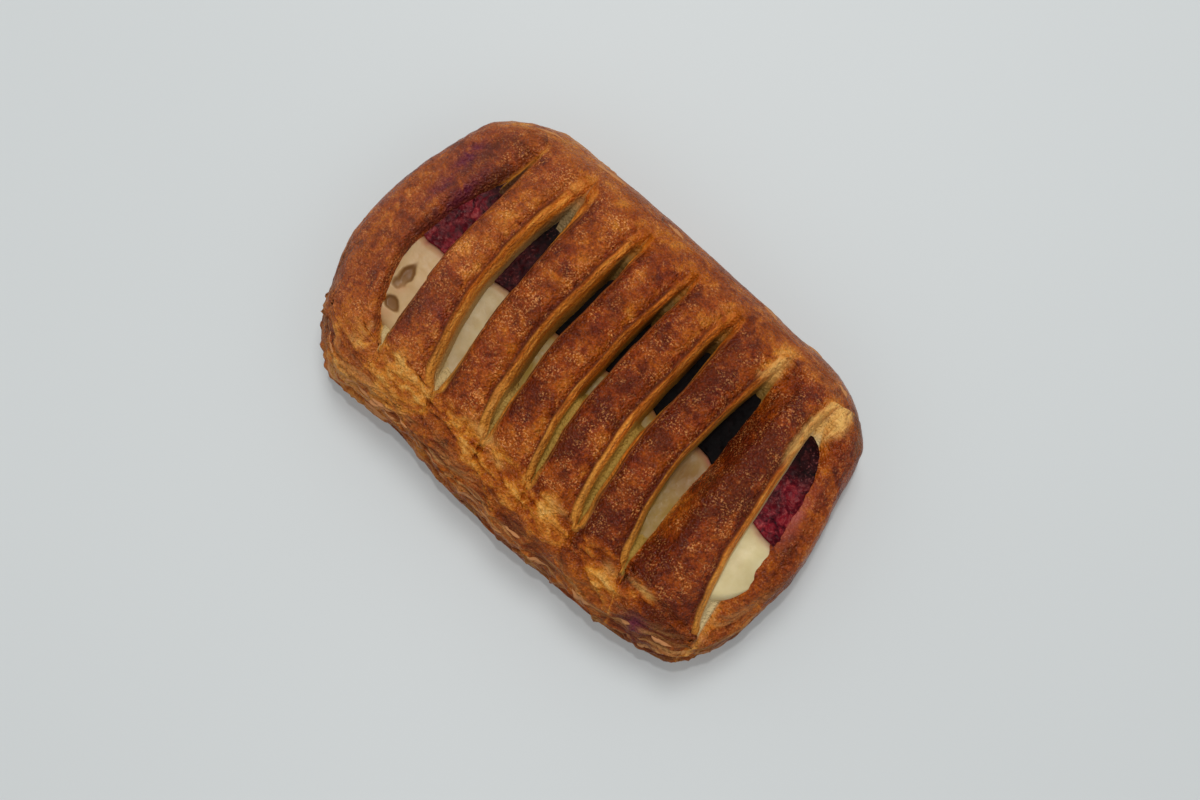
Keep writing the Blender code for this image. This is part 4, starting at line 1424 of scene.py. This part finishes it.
def make_light(name, place, width, power, target=(0.0, 0.0, 0.02)):
    """A square lamp that faces the pastry."""
    data = bpy.data.lights.new(name, "AREA")
    data.size = width
    data.energy = power
    lamp = bpy.data.objects.new(name, data)
    aim = Vector(target) - Vector(place)
    lamp.matrix_world = Matrix.Translation(place) @ aim.to_track_quat("-Z", "Y").to_matrix().to_4x4()
    bpy.context.scene.collection.objects.link(lamp)


def floor_finish(colour):
    """Pale smooth table top with a soft gloss and a faint unevenness."""
    build = Nodes("floor")
    tone = build.range(build.noise(160.0), 0.3, 0.7, 0.985, 1.0)
    shaded = build.add("ShaderNodeMix", data_type="RGBA", blend_type="MULTIPLY")
    shaded.inputs[0].default_value = 1.0
    shaded.inputs[6].default_value = (*colour, 1.0)
    build.wire(shaded.inputs[7], tone)
    ripple = build.bump(build.noise(40.0, 3.0), 0.05, 1.0)
    build.sets(Base_Color=shaded.outputs[2], Roughness=0.42, Normal=ripple, Specular_IOR_Level=0.2)
    return build.material


# Room light from straight below to straight above, as places and linear colours
ROOM_STOPS = (
    (0.0, (0.56, 0.57, 0.58)),
    (0.72, (0.56, 0.5656, 0.5712)),
    (0.92, (0.05, 0.0505, 0.051)),
    (1.0, (0.04, 0.04, 0.04)),
)


def make_world():
    """Grey room light, darker overhead than at the horizon."""
    world = bpy.data.worlds.new("room")
    world.use_nodes = True
    bpy.context.scene.world = world
    nodes, links = world.node_tree.nodes, world.node_tree.links
    place = nodes.new("ShaderNodeTexCoord")
    split = nodes.new("ShaderNodeSeparateXYZ")
    ramp = nodes.new("ShaderNodeValToRGB")
    set_stops(ramp.color_ramp.elements, ROOM_STOPS)
    links.new(place.outputs["Generated"], split.inputs[0])
    links.new(split.outputs[2], ramp.inputs[0])
    links.new(ramp.outputs[0], nodes["Background"].inputs[0])


# Half the floor's side, in metres
FLOOR_HALF = 3.0


class DANISH_OT_stage(bpy.types.Operator):
    """Make the plain pale floor, the soft lights, the room light and the camera"""

    bl_idname = "danish.stage"
    bl_label = "Stage"

    def execute(self, context):
        settings = context.scene.danish_stage
        mesh = bpy.data.meshes.new("floor")
        corners = [(-1, -1), (1, -1), (1, 1), (-1, 1)]
        mesh.from_pydata([(x * FLOOR_HALF, y * FLOOR_HALF, 0.0) for x, y in corners], [], [(0, 1, 2, 3)])
        floor = bpy.data.objects.new("floor", mesh)
        context.scene.collection.objects.link(floor)
        mesh.materials.append(floor_finish(settings.floor_colour))
        make_light("soft_light", *SOFT_LIGHT, settings.soft_power)
        for number, (place, width) in enumerate(LAMPS):
            make_light(f"lamp_{number}", place, width, settings.lamp_power)
        make_world()
        make_camera()
        context.scene.view_settings.view_transform = "Standard"
        return {"FINISHED"}


class DANISH_PT_panel(bpy.types.Panel):
    """Settings and pieces of the danish"""

    bl_label = "Danish"
    bl_idname = "DANISH_PT_panel"
    bl_space_type = "VIEW_3D"
    bl_region_type = "UI"
    bl_category = "Danish"

    def draw(self, context):
        for group in (context.scene.danish_crust, context.scene.danish_stage):
            column = self.layout.column(align=True)
            for name in group.__annotations__:
                column.prop(group, name)
        for operator in OPERATORS:
            self.layout.operator(operator.bl_idname)


GROUPS = {"danish_crust": DanishCrustSettings, "danish_stage": DanishStageSettings}
OPERATORS = (DANISH_OT_crust, DANISH_OT_flakes, DANISH_OT_cheese, DANISH_OT_cherry, DANISH_OT_stage)


def register():
    for name, group in GROUPS.items():
        bpy.utils.register_class(group)
        setattr(bpy.types.Scene, name, bpy.props.PointerProperty(type=group))
    for item in (*OPERATORS, DANISH_PT_panel):
        bpy.utils.register_class(item)


def unregister():
    for item in (DANISH_PT_panel, *reversed(OPERATORS)):
        bpy.utils.unregister_class(item)
    for name, group in reversed(GROUPS.items()):
        delattr(bpy.types.Scene, name)
        bpy.utils.unregister_class(group)


def main():
    """Builds every piece and the stage."""
    register()
    bpy.ops.danish.crust()
    bpy.ops.danish.flakes()
    bpy.ops.danish.cheese()
    bpy.ops.danish.cherry()
    bpy.ops.danish.stage()


if __name__ == "__main__":
    main()
